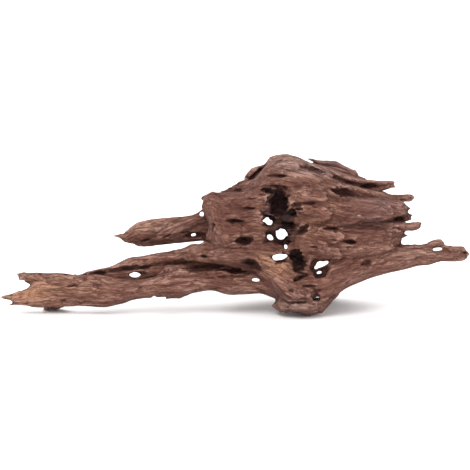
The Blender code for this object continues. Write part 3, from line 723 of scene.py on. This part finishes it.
front_face, back_face = face_of_wood(-1), face_of_wood(1)
for scale in SCALES:
    raise_scale(front_face, *scale)
draw = np.random.default_rng(8)
places = np.argwhere(np.isfinite(back_face))
for i, j in places[draw.integers(len(places), size=STREWN_SCALES)]:
    length, width = draw.uniform(12, 26) * draw.choice((-1, 1)), draw.uniform(4, 9)
    s, t = grid_axes[0][i], grid_axes[1][j]
    raise_scale(back_face, s, t, length, width, grain_tilt(back_face, i, j), draw.uniform(1.4, 2.6))
uncut_wood = wood.copy()

# Its hollow heart, bores and pits
# Rot and boring animals emptied the heart of the root, and light passes through in a dozen places. Smaller
# pits and slots follow the grain. All of them are worn out of the strands, with ragged rims.

# Rooms of the hollow heart: (s, t, d, radius along s, radius along t, radius along d, tilt in degrees)
ROOMS = {
    "room_high": (284, 104, 0, 17, 26, 24, -8),
    "room_middle": (284, 82, 6, 22, 18, 30, 0),
    "room_low": (292, 58, 2, 16, 14, 22, 20),
    "window_top": (275, 124.5, -36, 13, 4.5, 26, 9),
    "window_tall": (277.5, 111, -34, 12.5, 16.5, 32, -6),
    "window_spur": (291, 102.5, -38, 8.5, 4.2, 26, 12),
    "window_foot": (268.5, 96.5, -40, 8, 8.5, 28, 20),
    "eye_right": (287.5, 89.5, -38, 9.5, 5, 26, -3),
    "window_heart": (281, 80, -38, 8.5, 9, 26, 0),
    "window_left": (270, 79.5, -44, 7, 6, 24, 0),
    "window_low": (284.5, 73, -40, 6.5, 5, 22, 0),
    "window_sill": (280, 57.5, -40, 8.5, 4.8, 18, 8),
    "cave": (297.5, 55, -36, 8.5, 11, 22, 20),
    "mouth_back": (290, 98, 66, 20, 9, 22, -6),
    "mouth_back_low": (318, 68, 66, 14, 6, 20, 4),
    "mouth_back_left": (256, 78, 58, 13, 5, 18, 6),
    "mouth_top": (276, 150, 34, 14, 20, 8, 0),
}

# Bores that light passes through, along d: (s, t, radius along s, radius along t, tilt in degrees)
BORES = {
    "through_high": (267.5, 94, 4.8, 4.3, 0),
    "through_heart": (281, 81.5, 6, 5.8, 0),
    "through_left": (270.3, 77.4, 3.5, 2.2, -30),
    "through_low": (285.8, 68.2, 1.8, 2.4, 0),
    "through_sill": (280, 57.7, 7.5, 3.6, 12),
    "through_crater": (321.5, 50.5, 7.5, 3, 25),
    "through_crater_low": (319.3, 42.6, 3, 1.8, 15),
    "through_foot": (316.5, 16, 3.6, 2.3, 10),
    "through_nose": (255.7, 35.2, 4, 1.6, -5),
    "through_blade": (193.5, 80.3, 2.6, 1.5, 10),
    "through_beam": (135, 40.3, 6, 2.1, 0),
    "through_horn": (437.5, 65.8, 4.8, 1.6, 5),
    "through_corner": (201.6, 101.6, 2.2, 2.2, 0),
}

# Pits in the front face: (s, t, half length along the grain, half width, depth, tilt in degrees)
PITS = (
    (234.5, 94, 11, 2.4, 8, -3),
    (248.5, 106.7, 9, 1.7, 5, 0),
    (244.5, 74.5, 9, 5, 10, 0),
    (251, 50, 11, 7, 11, -15),
    (200, 48, 26, 4, 6, 3),
    (233, 44, 20, 3.5, 7, 0),
    (203.5, 58.5, 6, 2, 6, 0),
    (128, 46.5, 26, 2.6, 5, 6),
    (172, 51.5, 20, 2.2, 4, 2),
    (98, 42, 9, 2, 7, 2),
    (101, 42, 5, 2, 7, 0),
    (195, 79.5, 11, 2.6, 6, 4),
    (137, 41, 9, 3.2, 6, 0),
    (320, 47, 10, 11, 14, 0),
    (316, 19, 6, 5.5, 9, 0),
    (332.5, 86.5, 9, 3, 10, -5),
    (350.5, 73, 8, 2.4, 9, -5),
    (302.5, 85, 7.5, 3.6, 10, 38),
    (347, 121.5, 17, 4.4, 9, -4),
    (343, 134, 14, 3.2, 9, -20),
    (369, 128.5, 11, 3.6, 9, 3),
    (313, 144, 14, 2.5, 8, -20),
    (366, 52, 8, 3.5, 6, 20),
    (400.5, 96.5, 6, 1.9, 8, 5),
    (277, 139, 13, 1.9, 6, 0),
    (258, 143, 14, 3, 10, 42),
    (237, 124.5, 5, 1.9, 5, 0),
    (307, 112, 15, 2, 5, 4),
    (300, 37, 10, 2.6, 7, 25),
    (212, 89, 5, 4, 4, 0),
    (297, 12.5, 13, 1.7, 5, 2),
    (230, 38.5, 16, 2, 5, 0),
)

# Pits in the back, in the same measures
BACK_PITS = (
    (60, 32, 16, 3, 6, 0),
    (118, 30, 18, 3, 7, 4),
    (160, 46, 16, 3.4, 8, 4),
    (206, 62, 14, 4, 10, 0),
    (160, 84, 14, 2.6, 6, 0),
    (208, 88, 12, 3, 8, 4),
    (238, 104, 13, 4, 12, 6),
    (268, 118, 14, 3.6, 10, 0),
    (300, 121, 16, 3.6, 12, -4),
    (336, 114, 15, 3.4, 10, -6),
    (372, 106, 12, 3, 8, -6),
    (284, 134, 12, 4, 9, 0),
    (320, 136, 14, 3, 8, -12),
    (262, 62, 12, 4, 10, 8),
    (300, 86, 10, 5, 14, 0),
    (344, 90, 14, 4.4, 12, 2),
    (374, 74, 12, 4, 10, 4),
    (342, 62, 12, 4, 10, 8),
    (396, 60, 14, 3, 6, 4),
    (300, 38, 8, 4, 9, 10),
)

# A bore's wall is as ragged as this times the square of its smaller radius, up to the most.
BORE_RAGGED = 0.18
MOST_RAGGED = 3.4


def wear_away(cut, hole, rim):
    """Takes a hole, less than 0 inside it, out of the wood: the greater of the two, plus m^2 / (4 rim)
    where their faces meet, with m from 0 to rim, so that the edge is rounded over rim millimetres."""
    here = wood[cut]
    meet = np.maximum(rim - np.abs(here + hole), 0)
    wood[cut] = np.maximum(here, -hole) + meet * meet / (4 * rim)


def wear_ball(middle, radii, tilt, ragged, rim=1.0, power=2.0):
    """A hollow where (|a|^p + |b|^p + |c|^p)^(1/p) = 1, with a, b and c the distances along its turned axes
    as shares of its radii: round for a power p of 2, and with pointed ends for less. Noise that is long
    along the grain moves its wall in and out."""
    reach = max(radii[0], radii[1]) + ragged + 2
    low = (middle[0] - reach, middle[1] - reach, middle[2] - radii[2] - ragged - 2)
    high = (middle[0] + reach, middle[1] + reach, middle[2] + radii[2] + ragged + 2)
    cut, s, t, d = cells_between(low, high)
    lengthwise, sideways = turned(s - middle[0], t - middle[1], tilt)
    a, b, c = lengthwise / radii[0], sideways / radii[1], (d - middle[2]) / radii[2]
    share = (np.abs(a) ** power + np.abs(b) ** power + np.abs(c) ** power) ** (1 / power)
    steep = np.sqrt((a / radii[0]) ** 2 + (b / radii[1]) ** 2 + (c / radii[2]) ** 2) / (share + 1e-3)
    hole = (share - 1) / (steep + 1e-4)
    if ragged:
        rough = 0.7 * lump_noise(s, t, d, (9, 3.6, 7)) + 0.8 * lump_noise(s, t, d, (4, 2, 2.6))
        hole = hole + ragged * rough
    wear_away(cut, hole, rim)


def wear_bore(s0, t0, radius_s, radius_t, tilt):
    """A tube through the whole depth, where sqrt(a^2 + b^2) = 1 with a and b as in a hollow, and its wall
    is moved in and out by noise."""
    reach = max(radius_s, radius_t) + 3
    cut, s, t, d = cells_between((s0 - reach, t0 - reach, LOWEST[2]), (s0 + reach, t0 + reach, HIGHEST[2]))
    lengthwise, sideways = turned(s - s0, t - t0, tilt)
    share = np.sqrt((lengthwise / radius_s) ** 2 + (sideways / radius_t) ** 2)
    steep = np.sqrt((lengthwise / radius_s**2) ** 2 + (sideways / radius_t**2) ** 2) / (share + 1e-3)
    ragged = min(MOST_RAGGED, BORE_RAGGED * min(radius_s, radius_t) ** 2)
    hole = (share - 1) / (steep + 1e-4) + ragged * lump_noise(s, t, d, (4.5, 3.1, 90))
    wear_away(cut, np.broadcast_to(hole, wood[cut].shape), 0.8)


def place_in(face, s, t):
    """The d at which the face lies at s and t."""
    return face[int((s - LOWEST[0]) / CELL), int((t - LOWEST[1]) / CELL)]


front_face, back_face = face_of_wood(-1), face_of_wood(1)
for room in ROOMS.values():
    wear_ball(room[:3], room[3:6], room[6], 3.6, 1.0)
for bore in BORES.values():
    wear_bore(*bore)
for face, pits in ((front_face, PITS), (back_face, BACK_PITS)):
    for s, t, length, width, depth, tilt in pits:
        power = 1.6 if length > 2 * width else 2.0  # a slot has pointed ends
        ragged = min(2.2, 0.7 * width)
        wear_ball((s, t, place_in(face, s, t)), (length, width, depth), tilt, ragged, 2.0, power)

# Rims that the weather wore wider than the bores behind them, in the measures of the pits
WORN_RIMS = (
    (316, 21, 6.0, 5.0, 4, -12),
    (349, 122, 19, 4.6, 12, -5),
    (277, 77, 14, 7.0, 10, 8),
    (288, 90, 10, 4.6, 11, -12),
    (277, 95, 8, 6.0, 11, -40),
    (298, 52, 8, 11, 6, 10),
    (266, 102, 6, 8, 5, 0),
    (269, 126, 8, 4.0, 6, 15),
    (274, 104, 10, 6.0, 6, 10),
    (297, 107, 6, 4.0, 6, -20),
    (342, 134, 12, 3.4, 9, -24),
    (318, 145, 14, 2.6, 7, -16),
)
for s, t, length, width, depth, tilt in WORN_RIMS:
    wear_ball((s, t, place_in(front_face, s, t)), (length, width, depth), tilt, 2.6, 1.6)

# Small insect holes and slots, strewn over the front and the back, each along the grain where it lies
SMALL_PITS = 24
draw = np.random.default_rng(5)
for face in (front_face, back_face):
    places = np.argwhere(np.isfinite(face))
    for i, j in places[draw.integers(len(places), size=SMALL_PITS)]:
        middle = (grid_axes[0][i], grid_axes[1][j], face[i, j])
        radii = (draw.uniform(3, 9), draw.uniform(0.7, 1.2), draw.uniform(1.5, 4))
        wear_ball(middle, radii, grain_tilt(face, i, j), 0.5, 1.4, 1.4)

# Its skin
# What rot and weather left is one grown piece, with one skin that goes in at every hole and round the
# hollow heart. It lies where the cells change from wood to air, and rests on three points worn flat.

BARELY_WOOD = -0.05  # what a cell of air holds once it is filled


def part_corners(field):
    """Where wood and air meet like the squares of a chessboard, fills one square of air, so that no two
    skins share an edge. Filling one may make another such place, so this runs until there are none."""
    for _ in range(12):
        inside = field < 0
        filled = 0
        for u, v in ((0, 1), (0, 2), (1, 2)):
            corner = []
            for step_u, step_v in ((0, 0), (1, 1), (1, 0), (0, 1)):
                part = [slice(None)] * 3
                part[u] = slice(step_u, field.shape[u] - 1 + step_u)
                part[v] = slice(step_v, field.shape[v] - 1 + step_v)
                corner.append(tuple(part))
            a, b, c, d = (inside[part] for part in corner)
            for chess, air in ((a & b & ~c & ~d, corner[2]), (c & d & ~a & ~b, corner[0])):
                field[air][chess] = BARELY_WOOD
                filled += np.count_nonzero(chess)
        if not filled:
            break


def skin_of(field):
    """A surface net: each cell that the face passes through gets one point, the mean of where the face
    crosses its edges, and each crossed edge gets a four-sided face between the four cells round it."""
    inside = field < 0
    strides = np.array([field.shape[1] * field.shape[2], field.shape[2], 1])
    cell_of, crossing, quads = [], [], []
    for axis in range(3):
        near = [slice(None)] * 3
        far = [slice(None)] * 3
        near[axis], far[axis] = slice(None, -1), slice(1, None)
        index = np.argwhere(inside[tuple(near)] != inside[tuple(far)])
        step = np.eye(3, dtype=int)[axis]
        before = field[tuple(index.T)]
        after = field[tuple((index + step).T)]
        point = index + step * (before / (before - after))[:, None]
        u, v = (axis + 1) % 3, (axis + 2) % 3
        ring = np.zeros((4, 3), int)
        ring[1, u] = ring[2, u] = ring[2, v] = ring[3, v] = -1
        cells = (index[:, None, :] + ring[None]) @ strides
        cells = np.where((before < 0)[:, None], cells, cells[:, ::-1])
        quads.append(cells)
        cell_of.append(cells.ravel())
        crossing.append(np.repeat(point, 4, axis=0))
    cell_of, crossing = np.concatenate(cell_of), np.concatenate(crossing)
    cells, vertex = np.unique(cell_of, return_inverse=True)
    count = np.bincount(vertex)
    points = np.stack([np.bincount(vertex, weights=crossing[:, axis]) / count for axis in range(3)], axis=1)
    return points * CELL + np.array(LOWEST), np.searchsorted(cells, np.concatenate(quads))


def largest_piece(points, faces):
    """Keeps the largest connected skin: every point takes the lowest number among its neighbours until none
    changes, and the number that most points have stays."""
    label = np.arange(len(points))
    while True:
        lowest = label[faces].min(axis=1)
        new = label.copy()
        np.minimum.at(new, faces.ravel(), np.repeat(lowest, faces.shape[1]))
        new = new[new]
        if (new == label).all():
            break
        label = new
    keep = label[faces[:, 0]] == np.bincount(label).argmax()
    used = np.unique(faces[keep])
    return points[used], np.searchsorted(used, faces[keep])


def blurred(grid, reach):
    """The mean over a cube of cells, reach cells each way, from running totals along each axis."""
    for axis in range(3):
        size = grid.shape[axis]
        total = np.cumsum(grid, axis=axis, dtype=np.float32)
        total = np.concatenate([np.zeros_like(np.take(total, [0], axis=axis)), total], axis=axis)
        low = np.clip(np.arange(size) - reach, 0, size)
        high = np.clip(np.arange(size) + reach + 1, 0, size)
        grid = (np.take(total, high, axis=axis) - np.take(total, low, axis=axis)) / (2 * reach + 1)
    return grid


def value_at(grid, points):
    """The grid's value at each point, from the eight cells round it."""
    u = (points - np.array(LOWEST)) / CELL
    i = np.clip(np.floor(u).astype(int), 0, np.array(grid.shape) - 2)
    u = np.clip(u - i, 0, 1)
    total = np.zeros(len(points))
    for corner in np.ndindex(2, 2, 2):
        weight = np.prod(np.where(np.array(corner), u, 1 - u), axis=1)
        total += weight * grid[tuple((i + corner).T)]
    return total


def mesh_from(name, points, faces):
    """A mesh of points and of faces that all have as many corners."""
    mesh = bpy.data.meshes.new(name)
    mesh.vertices.add(len(points))
    mesh.vertices.foreach_set("co", points.astype(np.float32).ravel())
    mesh.loops.add(faces.size)
    mesh.loops.foreach_set("vertex_index", faces.astype(np.int32).ravel())
    mesh.polygons.add(len(faces))
    mesh.polygons.foreach_set("loop_start", np.arange(0, faces.size, faces.shape[1], dtype=np.int32))
    mesh.update(calc_edges=True)
    return mesh


# The wood below the ground is worn off flat, so the skin is closed there.
cut, s, t, d = cells_between(LOWEST, (HIGHEST[0], 30, HIGHEST[2]))
wood[cut] = np.maximum(wood[cut], GROUND_T + d * math.sin(EYE_TILT) - t)

part_corners(wood)
points, faces = largest_piece(*skin_of(wood))
MOST_TRIANGLES = 196000  # flat places keep fewer of them than rough ones
# The drawing's axes are left-handed and the world's aren't, so each face is turned round to face outward.
full = bpy.data.objects.new("driftwood_full", mesh_from("driftwood_full", to_world(points), faces[:, ::-1]))
bpy.context.scene.collection.objects.link(full)
fewer = full.modifiers.new("fewer_faces", "DECIMATE")
fewer.ratio = MOST_TRIANGLES / (2 * len(faces))
skin = bpy.data.meshes.new_from_object(full.evaluated_get(bpy.context.evaluated_depsgraph_get()))
bpy.data.objects.remove(full)
skin.name = "driftwood_skin"
driftwood = bpy.data.objects.new("driftwood_skin", skin)
bpy.context.scene.collection.objects.link(driftwood)
skin.shade_smooth()

co = np.empty(len(skin.vertices) * 3, np.float32)
skin.vertices.foreach_get("co", co)
co = co.reshape(-1, 3).astype(float) / MM
drawn = np.stack(
    [
        co[:, 0] + MIDDLE_S,
        co[:, 2] * math.cos(EYE_TILT) + GROUND_T + (co[:, 1] + MIDDLE_D) * math.sin(EYE_TILT),
        co[:, 1] + MIDDLE_D,
    ],
    axis=1,
)
cell = np.clip(np.round((drawn - np.array(LOWEST)) / CELL).astype(int), 0, np.array(grid_shape) - 1)
i, j = cell[:, 0], cell[:, 1]

# Ridges are worn pale, and grooves are darker with wear and painted shade: the less wood lies round a point
# within each reach, in cells, the paler it is, times the weight.
CROWDED_WEAR_AND_SHADE = ((2, 0.42), (5, 0.3), (11, 0.2))
solid = np.clip(0.5 - wood / CELL, 0, 1)
wear_and_shade = 0.5
for reach, weight in CROWDED_WEAR_AND_SHADE:
    wear_and_shade = wear_and_shade + weight * (0.5 - value_at(blurred(solid, reach), drawn))
wear_and_shade += 0.06 * lump_noise(*drawn.T, (6, 3.5, 3.5)) + 0.1 * lump_noise(*drawn.T, (20, 11, 11))

# How far a point lies behind the front or the back, and whether there was wood before the pits and bores
behind = np.nan_to_num(np.minimum(drawn[:, 2] - front_face[i, j], back_face[i, j] - drawn[:, 2]))
hollowed = np.clip((-value_at(uncut_wood, drawn) - 0.8) / 2.0, 0, 1)


def put(name, kind, values):
    """Gives each point of the skin its value, for the finish to read."""
    layer = skin.attributes.new(name, kind, "POINT")
    field = "value" if kind == "FLOAT" else "vector"
    layer.data.foreach_set(field, np.ascontiguousarray(values, np.float32).ravel())


# Where the wood is tan and freshly broken, darker and greyer, bleached, or black with rot and painted shade
# round the heart and its holes: (s, t, half length, half height, how much)
TAN_PLACES = (
    (280, 46, 12, 8, 1.3),
    (263, 57, 8, 7, 0.9),
    (28, 20, 22, 10, 0.7),
    (60, 30, 26, 8, 0.4),
    (308, 92, 24, 22, 0.35),
    (292, 64, 9, 4, 0.4),
    (372, 66, 16, 5, 0.4),
    (205, 49, 20, 4, 0.5),
    (50, 24, 50, 14, 0.3),
    (150, 90, 40, 10, 0.25),
)
GREY_PLACES = (
    (375, 97, 26, 12, 0.8),
    (385, 112, 22, 7, 0.8),
    (330, 150, 30, 8, 0.8),
    (360, 133, 26, 7, 0.6),
    (276, 20, 14, 6, 0.5),
    (105, 44, 40, 3, 0.5),
)
BLEACHED_PLACES = (
    (288, 152, 20, 9, 0.9),
    (312, 143, 26, 7, 0.6),
    (240, 136, 22, 6, 0.5),
    (165, 88, 30, 5, 0.5),
    (300, 10, 22, 8, 0.6),
    (410, 62, 40, 6, 0.4),
)
BLACK_AND_SHADED_PLACES = (
    (281, 88, 15, 18, 1.6),
    (248, 50, 9, 6, 0.9),
    (298, 54, 9, 12, 0.9),
    (312, 40, 14, 10, 0.4),
    (300, 100, 10, 8, 0.3),
    (230, 104, 22, 22, 0.5),
)


def patches(places):
    """The sum of soft spots: each falls off as e^-(u^2 + v^2), with u and v as shares of its half sizes."""
    total = 0
    for s, t, length, height, amount in places:
        u, v = (drawn[:, 0] - s) / length, (drawn[:, 1] - t) / height
        total = total + amount * np.exp(-(u**2) - v**2)
    return np.clip(total, 0, 1)


beside_t, beside_d = beside_grain[(slice(None), *cell.T)]
put("grain", "FLOAT_VECTOR", np.stack([drawn[:, 0], *waved_grain(drawn[:, 0], beside_t, beside_d)], axis=1))
tan, grey, bleached, black_and_shade = (
    patches(places) for places in (TAN_PLACES, GREY_PLACES, BLEACHED_PLACES, BLACK_AND_SHADED_PLACES)
)
wear_and_shade += 0.26 * tan - 0.04 * grey + 0.14 * bleached - 0.32 * black_and_shade
# Some places have stronger fibres than others. What the finish's fibres, streaks and splits add to the wear
# and painted shade on the mean is taken off it first.
MEAN_OF_STREAKS_AND_SPLITS = 0.31
MEAN_OF_FIBRES = 0.5
fibred = 1.1 + 0.5 * lump_noise(*drawn.T, (24, 9, 9))
put("fibred", "FLOAT", fibred)
put("wear_and_shade", "FLOAT", np.clip(wear_and_shade, 0, 1) - MEAN_OF_STREAKS_AND_SPLITS - MEAN_OF_FIBRES * fibred)
put("tan", "FLOAT", 0.7 * tan)
put("grey", "FLOAT", 0.35 * grey)
put("bleached", "FLOAT", 0.5 * bleached)

# Where wood is gone, stain and painted shade darken the first 8 mm behind the face, and from 18 mm on a pale
# rot colour paints light into the deep heart. Where the face is black with rot and painted shade, the stain
# and shade lie on it too.
STAIN_AND_SHADE_OVER = 8.0
ROT_AND_PAINTED_LIGHT_FROM = 18.0
blotched = 0.8 + 0.5 * lump_noise(*drawn.T, (7, 4, 4))
stain_and_shade_in_hollow = (0.42 + 0.4 * black_and_shade) * hollowed * np.clip(behind / STAIN_AND_SHADE_OVER, 0, 1)
black_and_shade_on_face = np.clip(2.5 * black_and_shade - 1.3, 0, 1)
put("stain_and_shade", "FLOAT", np.clip(np.maximum(stain_and_shade_in_hollow, black_and_shade_on_face) * blotched, 0, 1))
put("rot_and_painted_light", "FLOAT", 0.75 * hollowed * np.clip((behind - ROT_AND_PAINTED_LIGHT_FROM) / 8.0, 0, 1))

# Its wood
# Weathered tropical hardwood, never planed or oiled: grey-pink on the worn ridges, red-brown between them,
# and nearly black with stain and painted shade in the grooves and pits, while the deep rotted heart is
# painted paler to stand in for light. It is dry, so it has almost no gloss.


def linear(colour):
    """An sRGB hex colour as linear values: ((c + 0.055) / 1.055)^2.4 above 0.04045, and c / 12.92 below."""
    parts = [int(colour[i : i + 2], 16) / 255 for i in (1, 3, 5)]
    return (*(((c + 0.055) / 1.055) ** 2.4 if c > 0.04045 else c / 12.92 for c in parts), 1.0)


def add_node(tree, kind, settings=None, **inputs):
    """A node with its settings, and its inputs by name, or by number after an underscore: a socket is
    linked, and a value is set."""
    node = tree.nodes.new(kind)
    for name, value in (settings or {}).items():
        setattr(node, name, value)
    for name, value in inputs.items():
        socket = node.inputs[int(name[1:])] if name[1:].isdigit() else node.inputs[name.replace("_", " ")]
        if isinstance(value, bpy.types.NodeSocket):
            tree.links.new(value, socket)
        else:
            socket.default_value = value
    return node


wood_finish = bpy.data.materials.new("weathered_hardwood")
wood_finish.use_nodes = True
tree = wood_finish.node_tree
shader = tree.nodes["Principled BSDF"]
wear_and_shade_value = add_node(tree, "ShaderNodeAttribute", {"attribute_name": "wear_and_shade"}).outputs["Fac"]
fibre_share = add_node(tree, "ShaderNodeAttribute", {"attribute_name": "fibred"}).outputs["Fac"]
grain = add_node(tree, "ShaderNodeAttribute", {"attribute_name": "grain"}).outputs["Vector"]

# Noise of 0 to 1 that is long along the grain: (millimetres along it and to both sides, detail, roughness)
GRAIN_NOISES = {
    "fibre": ((11, 1.3, 1.3), 5.0, 0.8),
    "streak": ((24, 5, 5), 2.0, 0.5),
    "split": ((24, 3.5, 3.5), 2.0, 0.5),
}
noise = {}
for name, (size, detail, roughness) in GRAIN_NOISES.items():
    per_size = tuple(1 / side for side in size)
    scaled = add_node(tree, "ShaderNodeVectorMath", {"operation": "MULTIPLY"}, _0=grain, _1=per_size)
    place = scaled.outputs[0]
    lumps = add_node(tree, "ShaderNodeTexNoise", Vector=place, Scale=1.0, Detail=detail, Roughness=roughness)
    noise[name] = lumps.outputs["Fac"]

# Splits run where their noise is near its middle value: whole is 0 in a split and 1 beside it.
off_middle = add_node(tree, "ShaderNodeMath", {"operation": "SUBTRACT"}, _0=noise["split"], _1=0.5)
from_split = add_node(tree, "ShaderNodeMath", {"operation": "ABSOLUTE"}, _0=off_middle.outputs[0])
whole = add_node(tree, "ShaderNodeMapRange", Value=from_split.outputs[0], From_Max=0.05).outputs[0]

# How light the wood is: its wear and painted shade, less than 0 in a groove, and a share of the fibre, streak
# and splits
STREAK_SHARE = 0.38
SPLIT_SHARE = 0.2
multiply_add = {"operation": "MULTIPLY_ADD"}
light = wear_and_shade_value
for part, share in ((noise["fibre"], fibre_share), (noise["streak"], STREAK_SHARE), (whole, SPLIT_SHARE)):
    light = add_node(tree, "ShaderNodeMath", multiply_add, _0=part, _1=share, _2=light).outputs[0]
tone = add_node(tree, "ShaderNodeValToRGB", Fac=light)
stops = ((0.1, "#3b1e18"), (0.34, "#542e25"), (0.52, "#643e32"), (0.66, "#764f43"), (0.89, "#a98273"))
ramp = tone.color_ramp
while len(ramp.elements) < len(stops):
    ramp.elements.new(0.5)
for element, (position, colour) in zip(ramp.elements, stops):
    element.position = position
    element.color = linear(colour)

# Tan where a splinter broke off lately, grey and pale where sun and water leached it, dark with stain and
# painted shade in pits and hollows, and a pale rot colour that paints light deep in the heart
colour = tone.outputs["Color"]
casts = (
    ("tan", "COLOR", "#b07a58"),
    ("grey", "COLOR", "#503c3c"),
    ("bleached", "COLOR", "#967c73"),
    ("stain_and_shade", "MIX", "#2b1816"),
    ("rot_and_painted_light", "MIX", "#9c7472"),
)
for name, blend, cast in casts:
    amount = add_node(tree, "ShaderNodeAttribute", {"attribute_name": name}).outputs["Fac"]
    settings = {"data_type": "RGBA", "blend_type": blend}
    mix = add_node(tree, "ShaderNodeMix", settings, _0=amount, _6=colour, _7=linear(cast))
    colour = mix.outputs[2]
tree.links.new(colour, shader.inputs["Base Color"])
shader.inputs["Roughness"].default_value = 0.8
shader.inputs["Specular IOR Level"].default_value = 0.28
height = add_node(tree, "ShaderNodeMath", multiply_add, _0=whole, _1=0.5, _2=noise["fibre"]).outputs[0]
bump = add_node(tree, "ShaderNodeBump", Strength=1.0, Distance=2 * MM, Height=height)
tree.links.new(bump.outputs["Normal"], shader.inputs["Normal"])
skin.materials.clear()
skin.materials.append(wood_finish)

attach(driftwood, "root")
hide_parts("driftwood")

# The floor
# A sheet of matt white board that carries the wood and bends up behind it, far enough away to give no edge.
# Its section, y and z in metres, is carried along x.
floor_y = np.array([-5.0, 1.4, 1.7, 1.95, 2.15, 2.3, 2.38, 2.4])
floor_z = np.array([0.0, 0.0, 0.03, 0.1, 0.22, 0.42, 0.8, 2.6])
floor_x = np.array([-5.0, 5.0])
floor_points = np.stack([np.repeat(floor_x, len(floor_y)), np.tile(floor_y, 2), np.tile(floor_z, 2)], axis=1)
row = np.arange(len(floor_y) - 1)
floor_faces = np.stack([row + 1, row, row + len(floor_y), row + 1 + len(floor_y)], axis=1)
floor = bpy.data.objects.new("floor", mesh_from("floor", floor_points, floor_faces))
floor.data.shade_smooth()
bpy.context.scene.collection.objects.link(floor)
board = bpy.data.materials.new("white_board")
board.use_nodes = True
board.node_tree.nodes["Principled BSDF"].inputs["Base Color"].default_value = linear("#fafafa")
board.node_tree.nodes["Principled BSDF"].inputs["Roughness"].default_value = 0.95
floor.data.materials.append(board)

# The studio light
# Wide soft boxes: one above and to the left of the eye, a weaker one on the right, one behind that keeps
# the board white, and light from all round.


def add_soft_box(name, place, aim, size, power):
    """A lamp of size metres at place. It looks down at rest, so it is pitched by the angle from straight
    down to its aim, and then turned round z to face it."""
    lamp = bpy.data.lights.new(name, "AREA")
    lamp.shape = "RECTANGLE"
    lamp.size, lamp.size_y = size
    lamp.energy = power
    box = bpy.data.objects.new(name, lamp)
    bpy.context.scene.collection.objects.link(box)
    box.location = place
    direction = np.array(aim) - np.array(place)
    pitch = math.atan2(math.hypot(direction[0], direction[1]), -direction[2])
    box.rotation_euler = (pitch, 0, math.atan2(direction[0], -direction[1]) + math.pi)


HEART = (0.05, 0, 0.08)
add_soft_box("key_box", (-0.5, -1.5, 1.7), HEART, (1.2, 1.2), 36)
add_soft_box("fill_box", (1.4, -1.2, 0.8), HEART, (1.0, 1.0), 10)
add_soft_box("back_box", (0.2, 0.9, 1.9), (0, 1.2, 0), (2.4, 1.2), 32)
world = bpy.data.worlds.new("studio")
bpy.context.scene.world = world
world.use_nodes = True
world.node_tree.nodes["Background"].inputs["Color"].default_value = (1, 1, 1, 1)
world.node_tree.nodes["Background"].inputs["Strength"].default_value = 0.95
bpy.context.scene.view_settings.view_transform = "Standard"

# The camera
# It looks down a little and has no perspective, so it sees the drawing's s and t as they are. Its picture
# is a little wider than the root is long.
FRAME_MM = 470.0
FRAME_MIDDLE = (235.0, 80.0)
EYE_DISTANCE = 2.5
eye_data = bpy.data.cameras.new("eye")
eye_data.type = "ORTHO"
eye_data.ortho_scale = FRAME_MM * MM
eye_data.clip_end = 20
eye = bpy.data.objects.new("eye", eye_data)
bpy.context.scene.collection.objects.link(eye)
middle = to_world(np.array([[*FRAME_MIDDLE, 0.0]]))[0]
look = np.array([0, math.cos(EYE_TILT), -math.sin(EYE_TILT)])
eye.location = middle - EYE_DISTANCE * look
eye.rotation_euler = (math.pi / 2 - EYE_TILT, 0, 0)
bpy.context.scene.camera = eye
